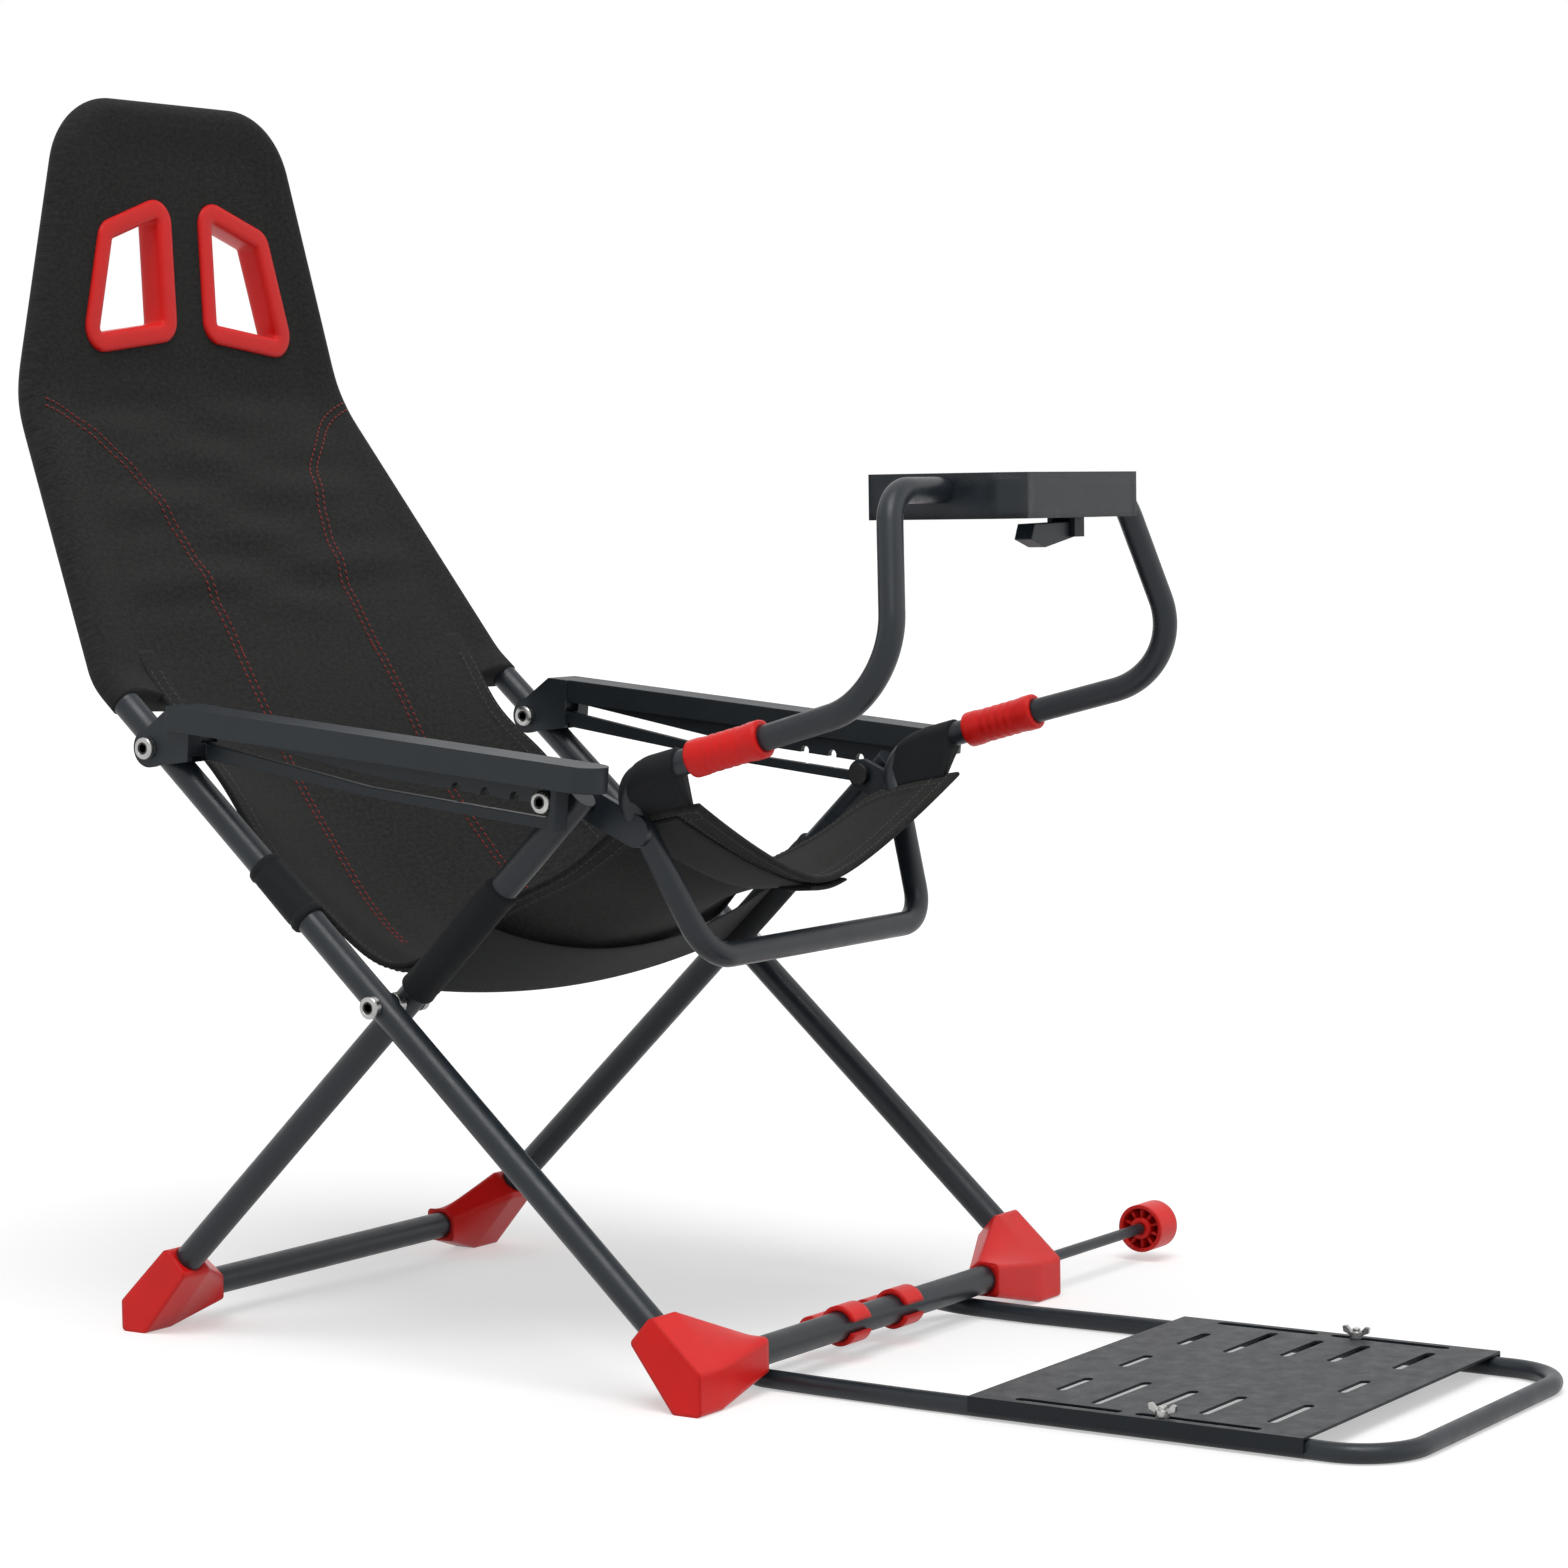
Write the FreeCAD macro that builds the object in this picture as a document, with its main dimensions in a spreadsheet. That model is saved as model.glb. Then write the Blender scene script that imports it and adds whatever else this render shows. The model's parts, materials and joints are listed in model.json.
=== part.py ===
# Folding racing seat: two crossed tube frames carry a sling seat, a wheel deck and a pedal frame.
# Millimetres. X is across the seat (+X is the driver's left), the driver faces -Y, Z is up from the floor.
# The origin is on the floor under the rear crossbar, midway between the legs.
import FreeCAD, Part
import Sketcher
import math
import os

vec = FreeCAD.Vector
doc = FreeCAD.newDocument("racing_seat")
sheet = doc.addObject("Spreadsheet::Sheet", "sizes")

# Driving dimensions
SIZES = {
    "leg_dia": 22,
    "bar_height": 28,
    "bar_spacing": 534.5,
    "front_half": 240,
    "leg_gap": 8,
    "front_leg_angle": 41.8,
    "cross_along": 371,
    "leg_top_along": 700,
    "arm_pivot_below": 46,
    "rear_leg_reach": 216.6,
    "rear_leg_over": 14,
    "bar_over": 12,
    "bolt_dia": 8,
    "bolt_head_dia": 17,
    "bolt_head_thick": 5,
    "running_gap": 0.1,
    "soft_gap": 0.4,
    "cap_out": 16,
    "cap_in": 77,
    "cap_up": 46,
    "cap_thick": 28,
    "cap_end": 27,
    "cap_face": 17,
    "rear_cap_in": 62,
    "rear_cap_face": 24,
    "cap_foot": 24,
    "cap_round": 4,
    "hoop_start_run": 30,
    "hoop_start_radius": 60,
    "hoop_shoulder_radius": 80,
    "back_lean": 126.3,
    "back_rise": 221.4,
    "head_lean": 11,
    "head_height": 246,
    "shoulder_half": 196,
    "back_top_half": 126,
    "back_corner_radius": 70,
    "back_thick": 25,
    "back_margin": 2,
    "back_tail": 26,
    "ring_lip": 4,
    "ring_wall": 12,
    "ring_overlap": 4,
    "ring_round": 14,
    "ring_drop": 77,
    "ring_height": 131,
    "ring_middle": 20,
    "ring_top_half": 100,
    "ring_low_half": 129,
    "ring_slant": 28,
    "sling_thick": 6,
    "sling_edge_in": 28,
    "sling_front_in": 6,
    "sling_waist_in": 34,
    "cuff_wall": 2,
    "front_cuff_along": 492,
    "front_cuff_length": 60,
    "rear_cuff_along": 70,
    "rear_cuff_length": 116,
    "strap_width": 76,
    "strap_thick": 3,
    "strap_rear_sag": 19,
    "strap_front_sag": 38,
    "armrest_angle": 5.6,
    "armrest_nose": 57,
    "armrest_top": 35,
    "armrest_cap_thick": 8,
    "armrest_rim": 19,
    "armrest_rim_wall": 5,
    "armrest_in": 13.5,
    "armrest_out": 22,
    "armrest_web_in": 10,
    "armrest_web_thick": 6,
    "armrest_ear_thick": 5.5,
    "armrest_ear_radius": 15,
    "armrest_block": 20,
    "armrest_bolt_back": 6,
    "armrest_bolt_up": 3,
    "notch_pitch": 27,
    "notch_depth": 7,
    "slot_width": 9,
    "deck_tube_dia": 19,
    "deck_lug_gap": 12,
    "deck_lug_thick": 6,
    "deck_lug_dia": 24,
    "knee_ahead": 26,
    "knee_up": 14,
    "hoop_bar_half": 148,
    "hoop_bar_drop": 112,
    "hoop_bar_ahead": 76,
    "hoop_knee_radius": 26,
    "hoop_corner_radius": 36,
    "grip_out": 8,
    "grip_ahead": 126.5,
    "grip_up": 44.8,
    "deck_arm_angle": 14.7,
    "grip_dia": 28,
    "grip_length": 64,
    "stub_over": 6,
    "stub_bore": 80,
    "spigot_dia": 14,
    "spigot_length": 78,
    "deck_arm_run": 158,
    "deck_arm_flare": 22,
    "deck_arm_straight": 24,
    "deck_arm_low_radius": 60,
    "deck_arm_top_radius": 34,
    "deck_arm_top_out": 70,
    "deck_arm_drop": 12,
    "deck_rise": 153.5,
    "deck_ahead": 30,
    "deck_depth": 123,
    "deck_half": 96,
    "deck_chamfer": 16,
    "deck_flange": 33,
    "deck_plate_thick": 2.5,
    "lever_side": 4,
    "lever_back": 17,
    "lever_drop": 7,
    "lever_length": 62,
    "lever_width": 14,
    "lever_pin_dia": 6,
    "lever_eye_dia": 14,
    "pedal_tube_dia": 14,
    "pedal_clear": 6,
    "pedal_flare": 2,
    "pedal_reach": 503,
    "pedal_corner_radius": 48,
    "pedal_bend_radius": 22,
    "pedal_bar_back": 25,
    "pedal_bar_drop": 6,
    "plate_start": 180,
    "plate_length": 261,
    "plate_thick": 2,
    "plate_flange": 11,
    "plate_gap": 0.3,
    "plate_side_gap": 1,
    "pedal_slot_width": 8,
    "pedal_slot_column": 99,
    "pedal_bolt_along": 150,
    "pedal_bolt_dia": 6,
    "clip_width": 24,
    "clip_wall": 4,
    "clip_slit": 9,
    "clip_half_spacing": 37.5,
    "rod_dia": 9,
    "rod_engaged": 90,
    "rod_out": 181,
    "knob_dia": 40,
    "knob_width": 29,
    "knob_wall": 3,
}
for row, (alias, value) in enumerate(SIZES.items(), 1):
    sheet.set("A%d" % row, alias)
    sheet.set("B%d" % row, str(value))
    sheet.setAlias("B%d" % row, alias)
doc.recompute()


def size(alias):
    return float(sheet.get(alias))


NODES = []


def node(label, obj):
    """Name a finished sub-part and list it for writing."""
    obj.Label = label
    NODES.append(obj)


def pair(name, make):
    """Build a piece on the driver's right (-X) and left (+X) as two sub-parts."""
    for side, word in ((-1, "right"), (1, "left")):
        node("%s_%s" % (name, word), make(side))


def shaped(shape):
    """Object for a shape that is worked out in code from the sheet's sizes."""
    obj = doc.addObject("Part::Feature", "shape")
    obj.Shape = shape
    return obj


def bar(start, direction, diameter, length):
    """Round bar from a point, with its diameter and length as expressions on the sheet."""
    obj = doc.addObject("Part::Cylinder", "bar")
    obj.setExpression("Radius", "(%s) / 2" % diameter)
    obj.setExpression("Height", length)
    obj.Placement = FreeCAD.Placement(start, FreeCAD.Rotation(vec(0, 0, 1), direction))
    return obj


def tube(points, radii, diameter):
    """Bent round tube: a circle bound to the sheet, swept along straight runs and tangent arcs."""
    path = shaped(rounded_wire(points, radii))
    ring = doc.addObject("Part::Circle", "ring")
    ring.setExpression("Radius", "(%s) / 2" % diameter)
    ring.Placement = FreeCAD.Placement(points[0], FreeCAD.Rotation(vec(0, 0, 1), points[1] - points[0]))
    sweep = doc.addObject("Part::Sweep", "tube")
    sweep.Sections = [ring]
    sweep.Spine = (path, ["Edge%d" % (i + 1) for i in range(len(path.Shape.Edges))])
    sweep.Solid = True
    return sweep


def fuse(*objects):
    obj = doc.addObject("Part::MultiFuse", "fuse")
    obj.Shapes = list(objects)
    obj.Refine = True
    return obj


def cut(base, *tools):
    obj = doc.addObject("Part::Cut", "cut")
    obj.Base = base
    obj.Tool = fuse(*tools) if len(tools) > 1 else tools[0]
    return obj


def together(*objects):
    """Several solids that don't touch, as one sub-part."""
    obj = doc.addObject("Part::Compound", "group")
    obj.Links = list(objects)
    return obj


def both(make):
    return together(make(-1), make(1))


def beside(place, x):
    return vec(x, place.y, place.z)


def cylinder(start, end, diameter):
    """Round bar between two points, as a shape."""
    return Part.makeCylinder(diameter / 2, (end - start).Length, start, end - start)


def across(x_from, x_to, place, diameter):
    """Round bar along X at the height and depth of place, as a shape."""
    return cylinder(beside(place, x_from), beside(place, x_to), diameter)


def box(low, high):
    """Box between two opposite corners, given in any order."""
    corner = vec(*[min(a, b) for a, b in zip(low, high)])
    return Part.makeBox(*[abs(a - b) for a, b in zip(low, high)], corner)


def prism(points, direction):
    """Flat polygon carried along a vector."""
    return Part.Face(Part.makePolygon(points + points[:1])).extrude(direction)


def rounded_wire(points, radii):
    """Straight runs joined by tangent arcs at the inner points."""
    edges = []
    start = points[0]
    for before, corner, after, radius in zip(points, points[1:], points[2:], radii):
        back = (before - corner).normalize()
        ahead = (after - corner).normalize()
        half = back.getAngle(ahead) / 2
        first = corner + back * (radius / math.tan(half))
        last = corner + ahead * (radius / math.tan(half))
        middle = corner + (back + ahead).normalize() * (radius / math.sin(half) - radius)
        edges.append(Part.LineSegment(start, first).toShape())
        edges.append(Part.Arc(first, middle, last).toShape())
        start = last
    edges.append(Part.LineSegment(start, points[-1]).toShape())
    return Part.Wire(edges)


def rounded_prism(points, radii, direction):
    """Polygon with rounded corners, carried along a vector."""
    middle = (points[-1] + points[0]) * 0.5
    return Part.Face(rounded_wire([middle] + points + [middle], radii)).extrude(direction)


def slot_cut(start, end, width, direction):
    """Round-ended slot between two points, carried along a vector through the wall."""
    along = (end - start).normalize()
    side = along.cross(direction).normalize() * (width / 2)
    flank = [start + side, end + side, end - side, start - side]
    ends = [cylinder(centre, centre + direction, width) for centre in (start, end)]
    return prism(flank, direction).fuse(ends)


def mirrored(points):
    """The same points on the other side, in reverse order."""
    return [vec(-p.x, p.y, p.z) for p in reversed(points)]


def polygon_sketch(body, height, corners):
    """Closed polygon on the body's XY plane; each corner is a pair of expressions on the sheet."""
    sketch = body.newObject("Sketcher::SketchObject", "outline")
    plane = [f for f in body.Origin.OriginFeatures if f.Role == "XY_Plane"][0]
    sketch.AttachmentSupport = [(plane, "")]
    sketch.MapMode = "FlatFace"
    sketch.AttachmentOffset = FreeCAD.Placement(vec(0, 0, height), FreeCAD.Rotation())
    places = [vec(*[sheet.evalExpression(text) for text in corner], 0) for corner in corners]
    count = len(corners)
    for i in range(count):
        sketch.addGeometry(Part.LineSegment(places[i], places[(i + 1) % count]))
    for i in range(count):
        sketch.addConstraint(Sketcher.Constraint("Coincident", i, 2, (i + 1) % count, 1))
    for i, (corner, place) in enumerate(zip(corners, places)):
        for kind, text, value in zip(("DistanceX", "DistanceY"), corner, (place.x, place.y)):
            index = sketch.addConstraint(Sketcher.Constraint(kind, -1, 1, i, 1, value))
            sketch.setExpression("Constraints[%d]" % index, text)
    return sketch


def folded_sheet(name, top, outer, inner, depth, thick):
    """Sheet with turned-down edges: a padded outline, hollowed from below to the sheet's thickness."""
    body = doc.addObject("PartDesign::Body", name)
    pad = body.newObject("PartDesign::Pad", "pad")
    pad.Profile = polygon_sketch(body, top, outer)
    pad.setExpression("Length", depth)
    pad.Reversed = True
    doc.recompute()
    pocket = body.newObject("PartDesign::Pocket", "hollow")
    pocket.Profile = polygon_sketch(body, top - sheet.evalExpression(depth), inner)
    pocket.setExpression("Length", "(%s) - (%s)" % (depth, thick))
    pocket.Reversed = True
    doc.recompute()
    if pocket.Shape.Volume >= pad.Shape.Volume:
        raise RuntimeError("no hollow in " + name)
    return body


# Points and directions of the folding frame, in the plane of one side
leg_r = size("leg_dia") / 2
gap = size("soft_gap")
front_half = size("front_half")
rear_half = front_half - size("leg_dia") - size("leg_gap")
front_bar = vec(0, -size("bar_spacing"), size("bar_height"))
rear_bar = vec(0, 0, size("bar_height"))
lean = math.radians(size("front_leg_angle"))
front_dir = vec(0, math.cos(lean), math.sin(lean))
cross = front_bar + front_dir * size("cross_along")
rear_dir = (cross - rear_bar).normalize()
leg_top = front_bar + front_dir * size("leg_top_along")
arm_pivot = leg_top - front_dir * size("arm_pivot_below")
deck_pivot = cross + rear_dir * size("rear_leg_reach")
sideways = vec(1, 0, 0)
REAR_HALF = "(sizes.front_half - sizes.leg_dia - sizes.leg_gap)"
RUNNING_HOLE = "sizes.bolt_dia + 2 * sizes.running_gap"
ROD_BORE = "sizes.rod_dia + 2 * sizes.soft_gap"
bolt_hole = sheet.evalExpression(RUNNING_HOLE)
rod_bore = sheet.evalExpression(ROD_BORE)


def through(x, place, diameter):
    """Bar across a leg at x, wider than the leg, to cut a hole or a cope with."""
    return bar(beside(place, x - size("leg_dia")), sideways, diameter, "2 * sizes.leg_dia")


def crossbar(place, half, half_text):
    start = beside(place, -half - size("bar_over"))
    return bar(start, sideways, "sizes.leg_dia", "2 * (%s + sizes.bar_over)" % half_text)


# Front legs, their crossbar, and the bent hoop inside the back
def front_leg(side):
    x = side * front_half
    leg = bar(beside(front_bar, x), front_dir, "sizes.leg_dia", "sizes.leg_top_along")
    holes = [through(x, place, "sizes.bolt_dia") for place in (cross, arm_pivot)]
    return cut(leg, through(x, front_bar, "sizes.leg_dia"), *holes)


def front_crossbar():
    bore = bar(front_bar, sideways, ROD_BORE, "2 * sizes.front_half")
    return cut(crossbar(front_bar, front_half, "sizes.front_half"), bore)


hoop_wall = leg_r + size("back_margin")
foot_half = front_half + hoop_wall
hoop_bend = leg_top + front_dir * size("hoop_start_run")
shoulder = hoop_bend + vec(0, size("back_lean"), size("back_rise"))
back_top = shoulder + vec(0, size("head_lean"), size("head_height"))
back_dir = (shoulder - hoop_bend).normalize()
head_dir = (back_top - shoulder).normalize()
back_foot = hoop_bend - back_dir * size("back_tail")


def back_hoop(diameter):
    """Tube that keeps one wall inside the back's outline all round."""
    right = [
        beside(leg_top, -front_half),
        beside(hoop_bend, -front_half),
        beside(shoulder, hoop_wall - size("shoulder_half")),
        beside(back_top - head_dir * hoop_wall, hoop_wall - size("back_top_half")),
    ]
    top_radius = size("back_corner_radius") - hoop_wall
    bends = [size("hoop_start_radius"), size("hoop_shoulder_radius"), top_radius]
    return tube(right + mirrored(right), bends + bends[::-1], diameter)


pair("front_leg", front_leg)
node("front_crossbar", front_crossbar())
node("back_hoop", back_hoop("sizes.leg_dia"))


# Rear legs and their crossbar
def rear_leg(side):
    x = side * rear_half
    top = deck_pivot + rear_dir * size("rear_leg_over")
    leg = shaped(cylinder(beside(rear_bar, x), beside(top, x), size("leg_dia")))
    holes = [through(x, cross, RUNNING_HOLE), through(x, deck_pivot, "sizes.bolt_dia")]
    return cut(leg, through(x, rear_bar, "sizes.leg_dia"), *holes)


pair("rear_leg", rear_leg)
node("rear_crossbar", crossbar(rear_bar, rear_half, REAR_HALF))


# Corner caps: a block round the leg's foot with an upright face and a flat foot, and a wedge out to the bar
def corner_cap(side, half, bar_place, leg_dir, reach_in, face_out, bored):
    corner = beside(bar_place, side * half)
    level = vec(0, -math.copysign(1, leg_dir.y), 0)
    normal = vec(0, level.y * leg_dir.z, abs(leg_dir.y))
    wall = normal * (size("cap_thick") / 2)
    floor = vec(0, 0, -corner.z)
    face = level * face_out
    face_top = corner.z + (wall.Length - face_out * leg_dir.z) / abs(leg_dir.y)
    block = [
        face + floor,
        face + floor + vec(0, 0, face_top),
        leg_dir * size("cap_up") + wall,
        leg_dir * size("cap_up") - wall,
        face - level * size("cap_foot") + floor,
    ]
    r = size("cap_end") / 2
    end = [level * u + vec(0, 0, w) for u, w in ((r, -r), (r, r), (-r / 3, r), (-r, r / 2), (-r, -r))]
    inner = corner - vec(side * size("cap_thick") / 2, 0, 0)
    outer = corner + vec(side * size("cap_out"), 0, 0)
    tip_end = corner - vec(side * reach_in, 0, 0)

    def outline(centre, section):
        points = [centre + p for p in section]
        middle = (points[-1] + points[0]) * 0.5
        return rounded_wire([middle] + points + [middle], [size("cap_round")] * len(points))

    wedge = Part.makeLoft([outline(inner, block), outline(tip_end, end)], True, True)
    cap = Part.Face(outline(inner, block)).extrude(outer - inner).fuse(wedge)
    cap = cap.cut(cylinder(corner, corner + leg_dir * (2 * size("cap_up")), size("leg_dia")))
    cap = cap.cut(across(0, side * (half + size("bar_over")), bar_place, size("leg_dia")))
    if bored:
        cap = cap.cut(across(0, 2 * half, bar_place, rod_bore))
    return shaped(cap.removeSplitter())


def front_cap(side):
    return corner_cap(side, front_half, front_bar, front_dir, size("cap_in"), size("cap_face"), side > 0)


def rear_cap(side):
    return corner_cap(side, rear_half, rear_bar, rear_dir, size("rear_cap_in"), size("rear_cap_face"), False)


pair("front_cap", front_cap)
pair("rear_cap", rear_cap)


# Bolts: where the legs cross, at the armrests' rear ends, and the pins that carry the deck frame
def bolt(x_seat, x_end, place):
    """Bolt along X: its head stands on the seat, away from the end of its shank."""
    away = math.copysign(size("bolt_head_thick"), x_seat - x_end)
    head = across(x_seat, x_seat + away, place, size("bolt_head_dia"))
    return head.fuse(across(x_seat, x_end, place, size("bolt_dia"))).removeSplitter()


front_out = front_half + leg_r
front_in = front_half - leg_r
rear_out = rear_half + leg_r
rear_in = rear_half - leg_r


def cross_bolt(side):
    nut_seat = rear_in - gap
    nut_end = nut_seat - size("bolt_head_thick")
    nut = across(side * nut_seat, side * nut_end, cross, size("bolt_head_dia"))
    spacer = across(side * (rear_out + gap), side * front_in, cross, size("bolt_head_dia"))
    return shaped(bolt(side * front_out, side * nut_end, cross).fuse([nut, spacer]).removeSplitter())


ear_in = front_in - gap
ear_out = front_out + gap
ear_thick = size("armrest_ear_thick")


def armrest_pin(side):
    low = side * (ear_in - ear_thick - gap)
    high = side * (ear_out + ear_thick + gap)
    return shaped(bolt(high, low, arm_pivot).fuse(bolt(low, high, arm_pivot)).removeSplitter())


lug_out = rear_in - size("deck_lug_gap")
lug_in = lug_out - size("deck_lug_thick")
node("cross_bolts", both(cross_bolt))
node("armrest_pins", both(armrest_pin))
node("deck_pins", both(lambda side: shaped(bolt(side * (lug_in - gap), side * rear_out, deck_pivot))))


# Seat back: a sewn bag over the hoop, bent at the shoulders, with two head openings
def thick_profile(line, thickness):
    """Side outline of a bent sheet: the line moved half the thickness to each side, mitred at its bend."""
    first, bend, last = line
    ahead = [(bend - first).normalize(), (last - bend).normalize()]
    normals = [vec(0, -d.z, d.y) * (thickness / 2) for d in ahead]
    mitre = (normals[0] + normals[1]).normalize()
    mitre = mitre * (thickness / 2 / math.cos(normals[0].getAngle(mitre)))
    front = [first + normals[0], bend + mitre, last + normals[1]]
    rear = [first - normals[0], bend - mitre, last - normals[1]]
    return front + rear[::-1]


head_tilt = math.degrees(math.atan2(size("head_lean"), size("head_height")))


def head_prism(side, inset, depth_from, depth_to):
    """Rounded opening through the head panel; depths count back from the panel's front face."""
    top = size("head_height") - size("ring_drop")
    low = top - size("ring_height")
    slant = size("ring_slant")
    outline = [
        (size("ring_middle") + inset, top - inset),
        (size("ring_top_half") - inset, top - slant - inset),
        (size("ring_low_half") - inset, low + inset),
        (size("ring_middle") + inset, low + slant / 2 + inset),
    ]
    front = shoulder.y - size("back_thick") / 2
    points = [vec(side * x, front + depth_from, shoulder.z + z) for x, z in outline]
    radius = size("ring_round") - inset / 2
    opening = rounded_prism(points, [radius] * len(points), vec(0, depth_to - depth_from, 0))
    opening.rotate(shoulder, sideways, -head_tilt)
    return opening


def seat_back():
    profile = thick_profile([back_foot, shoulder, back_top], size("back_thick"))
    side_block = prism([beside(p, -foot_half) for p in profile], vec(2 * foot_half, 0, 0))
    right = [
        vec(-foot_half, 0, back_foot.z - size("back_thick")),
        vec(-foot_half, 0, back_foot.z),
        vec(-size("shoulder_half"), 0, shoulder.z),
        vec(-size("back_top_half"), 0, back_top.z),
    ]
    radii = [1, size("hoop_start_radius"), size("hoop_shoulder_radius"), size("back_corner_radius")]
    reach = 2 * foot_half
    outline = [vec(p.x, -reach, p.z) for p in right + mirrored(right)]
    bag = side_block.common(rounded_prism(outline, radii + radii[::-1], vec(0, 2 * reach, 0)))
    thick = size("back_thick")
    openings = [head_prism(side, size("ring_overlap"), -thick, 2 * thick) for side in (-1, 1)]
    return cut(shaped(bag.cut(openings)), back_hoop("sizes.leg_dia + 2 * sizes.soft_gap"))


def head_ring(side):
    lip = size("ring_lip")
    rear = size("back_thick") + gap
    ring = head_prism(side, size("ring_overlap") + gap, -lip - gap, rear + lip)
    lips = [head_prism(side, 0, -lip - gap, -gap), head_prism(side, 0, rear, rear + lip)]
    hole = head_prism(side, size("ring_wall"), -2 * lip, rear + 2 * lip)
    return shaped(ring.fuse(lips).cut(hole).removeSplitter())


node("seat_back", seat_back())
pair("head_ring", head_ring)


# Seat sling: cross sections that sag between their two edges, joined into one curved sheet
def sling_stations():
    """Half width, and the edge and middle of each section as steps in Y and Z from a point of the frame."""
    wide = front_half - size("sling_edge_in")
    waist = lug_in - size("sling_waist_in")
    front = lug_in - size("sling_front_in")
    foot = back_foot - back_dir * gap
    return [
        (wide, foot, (0, 0), (0, 0)),
        (wide, back_foot, (-57, -54), (-39, -86)),
        (wide, back_foot, (-147, -134), (-129, -172)),
        (wide, cross, (26, 29), (33, 1)),
        (front, cross, (-54, 59), (-67, 34)),
        (front, deck_pivot, (29, -47), (14, -89)),
        (waist, deck_pivot, (-31, -23), (-38, -73)),
        (front, deck_pivot, (-96, 5), (-86, -57)),
    ]


def seat_sling():
    """Flat sections, each as thick as the sheet along its own sag; the first one follows the back's foot."""
    wires = []
    for half, anchor, edge, middle in sling_stations():
        edge = anchor + vec(0, *edge)
        middle = anchor + vec(0, *middle)
        sag = middle - edge
        if sag.Length < 1:
            sag = vec(0, back_dir.z, -back_dir.y)
        down = sag.normalize() * size("sling_thick")
        upper = []
        for step in range(-3, 4):
            v = step / 3
            upper.append(beside(middle + (edge - middle) * (v * v), v * half))
        lower = [p + down for p in reversed(upper)]
        wires.append(Part.makePolygon(upper + lower + upper[:1]))
    return shaped(Part.makeLoft(wires, True, True))


node("seat_sling", seat_sling())


# Webbing cuffs on the legs, and the support strap that hangs between the rear ones
def leg_cuff(start, direction, length):
    sleeve = bar(start, direction, "sizes.leg_dia + 2 * sizes.cuff_wall", length)
    return cut(sleeve, bar(start, direction, "sizes.leg_dia", length))


def front_cuff(side):
    start = front_bar + front_dir * (size("front_cuff_along") - size("front_cuff_length") / 2)
    return leg_cuff(beside(start, side * front_half), front_dir, "sizes.front_cuff_length")


rear_cuff_start = cross + rear_dir * (size("rear_cuff_along") - size("rear_cuff_length") / 2)


def rear_cuff(side):
    return leg_cuff(beside(rear_cuff_start, side * rear_half), rear_dir, "sizes.rear_cuff_length")


def strap_section(place, sag):
    """Band across the seat that hangs in an arc from the rear cuffs, as a closed outline."""
    end_x = rear_in - size("cuff_wall") - gap
    lift = vec(0, 0, size("strap_thick"))
    ends = [beside(place, -end_x), beside(place, end_x)]
    low = place - vec(0, 0, sag)
    lower = Part.Arc(ends[0], low, ends[1]).toShape()
    upper = Part.Arc(ends[1] + lift, low + lift, ends[0] + lift).toShape()
    right = Part.LineSegment(ends[1], ends[1] + lift).toShape()
    left = Part.LineSegment(ends[0] + lift, ends[0]).toShape()
    return Part.Wire([lower, right, upper, left])


def under_strap():
    far = rear_cuff_start + rear_dir * size("strap_width")
    rear = strap_section(rear_cuff_start, size("strap_rear_sag"))
    return shaped(Part.makeLoft([rear, strap_section(far, size("strap_front_sag"))], True, True))


node("front_cuffs", both(front_cuff))
node("rear_cuffs", both(rear_cuff))
node("under_strap", under_strap())

# Armrests, drawn along u (forward) and w (up) from their rear pin, then tipped down to the front
bolt_u = (deck_pivot - arm_pivot).Length - size("armrest_bolt_back")
web_x = front_half - size("armrest_web_in")


def tip(shape):
    shape.rotate(vec(0, 0, 0), sideways, size("armrest_angle"))
    shape.translate(arm_pivot)
    return shaped(shape)


def flat(side, x, pairs):
    return [vec(side * x, -u, w) for u, w in pairs]


def top_slab(side, inner, outer, start, end, low, high):
    """Flat bar with its front end rounded in plan."""
    points = [vec(side * x, -u, low) for x, u in ((inner, start), (outer, start), (outer, end), (inner, end))]
    square = 0.5
    nose = (outer - inner) / 2 - square
    return rounded_prism(points, [square, square, nose, nose], vec(0, 0, high - low))


def slot_cuts(side, wall):
    """The long bent slot of the web and the notches that rise from its front end."""
    x = web_x - size("armrest_web_thick")
    through_web = wall * 3
    low = size("armrest_bolt_up") - size("notch_depth")
    start = size("armrest_ear_radius") + size("armrest_block") + size("slot_width") / 2
    bends = [(start, low + 16), ((start + bolt_u) / 2, low + 2), (bolt_u, low)]
    line = flat(side, x, bends)
    cuts = [slot_cut(a, b, size("slot_width"), through_web) for a, b in zip(line, line[1:])]
    for i in range(4):
        u = bolt_u - i * size("notch_pitch")
        foot, head = flat(side, x, [(u, low), (u, size("armrest_bolt_up"))])
        cuts.append(slot_cut(foot, head, bolt_hole, through_web))
    return cuts


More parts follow.
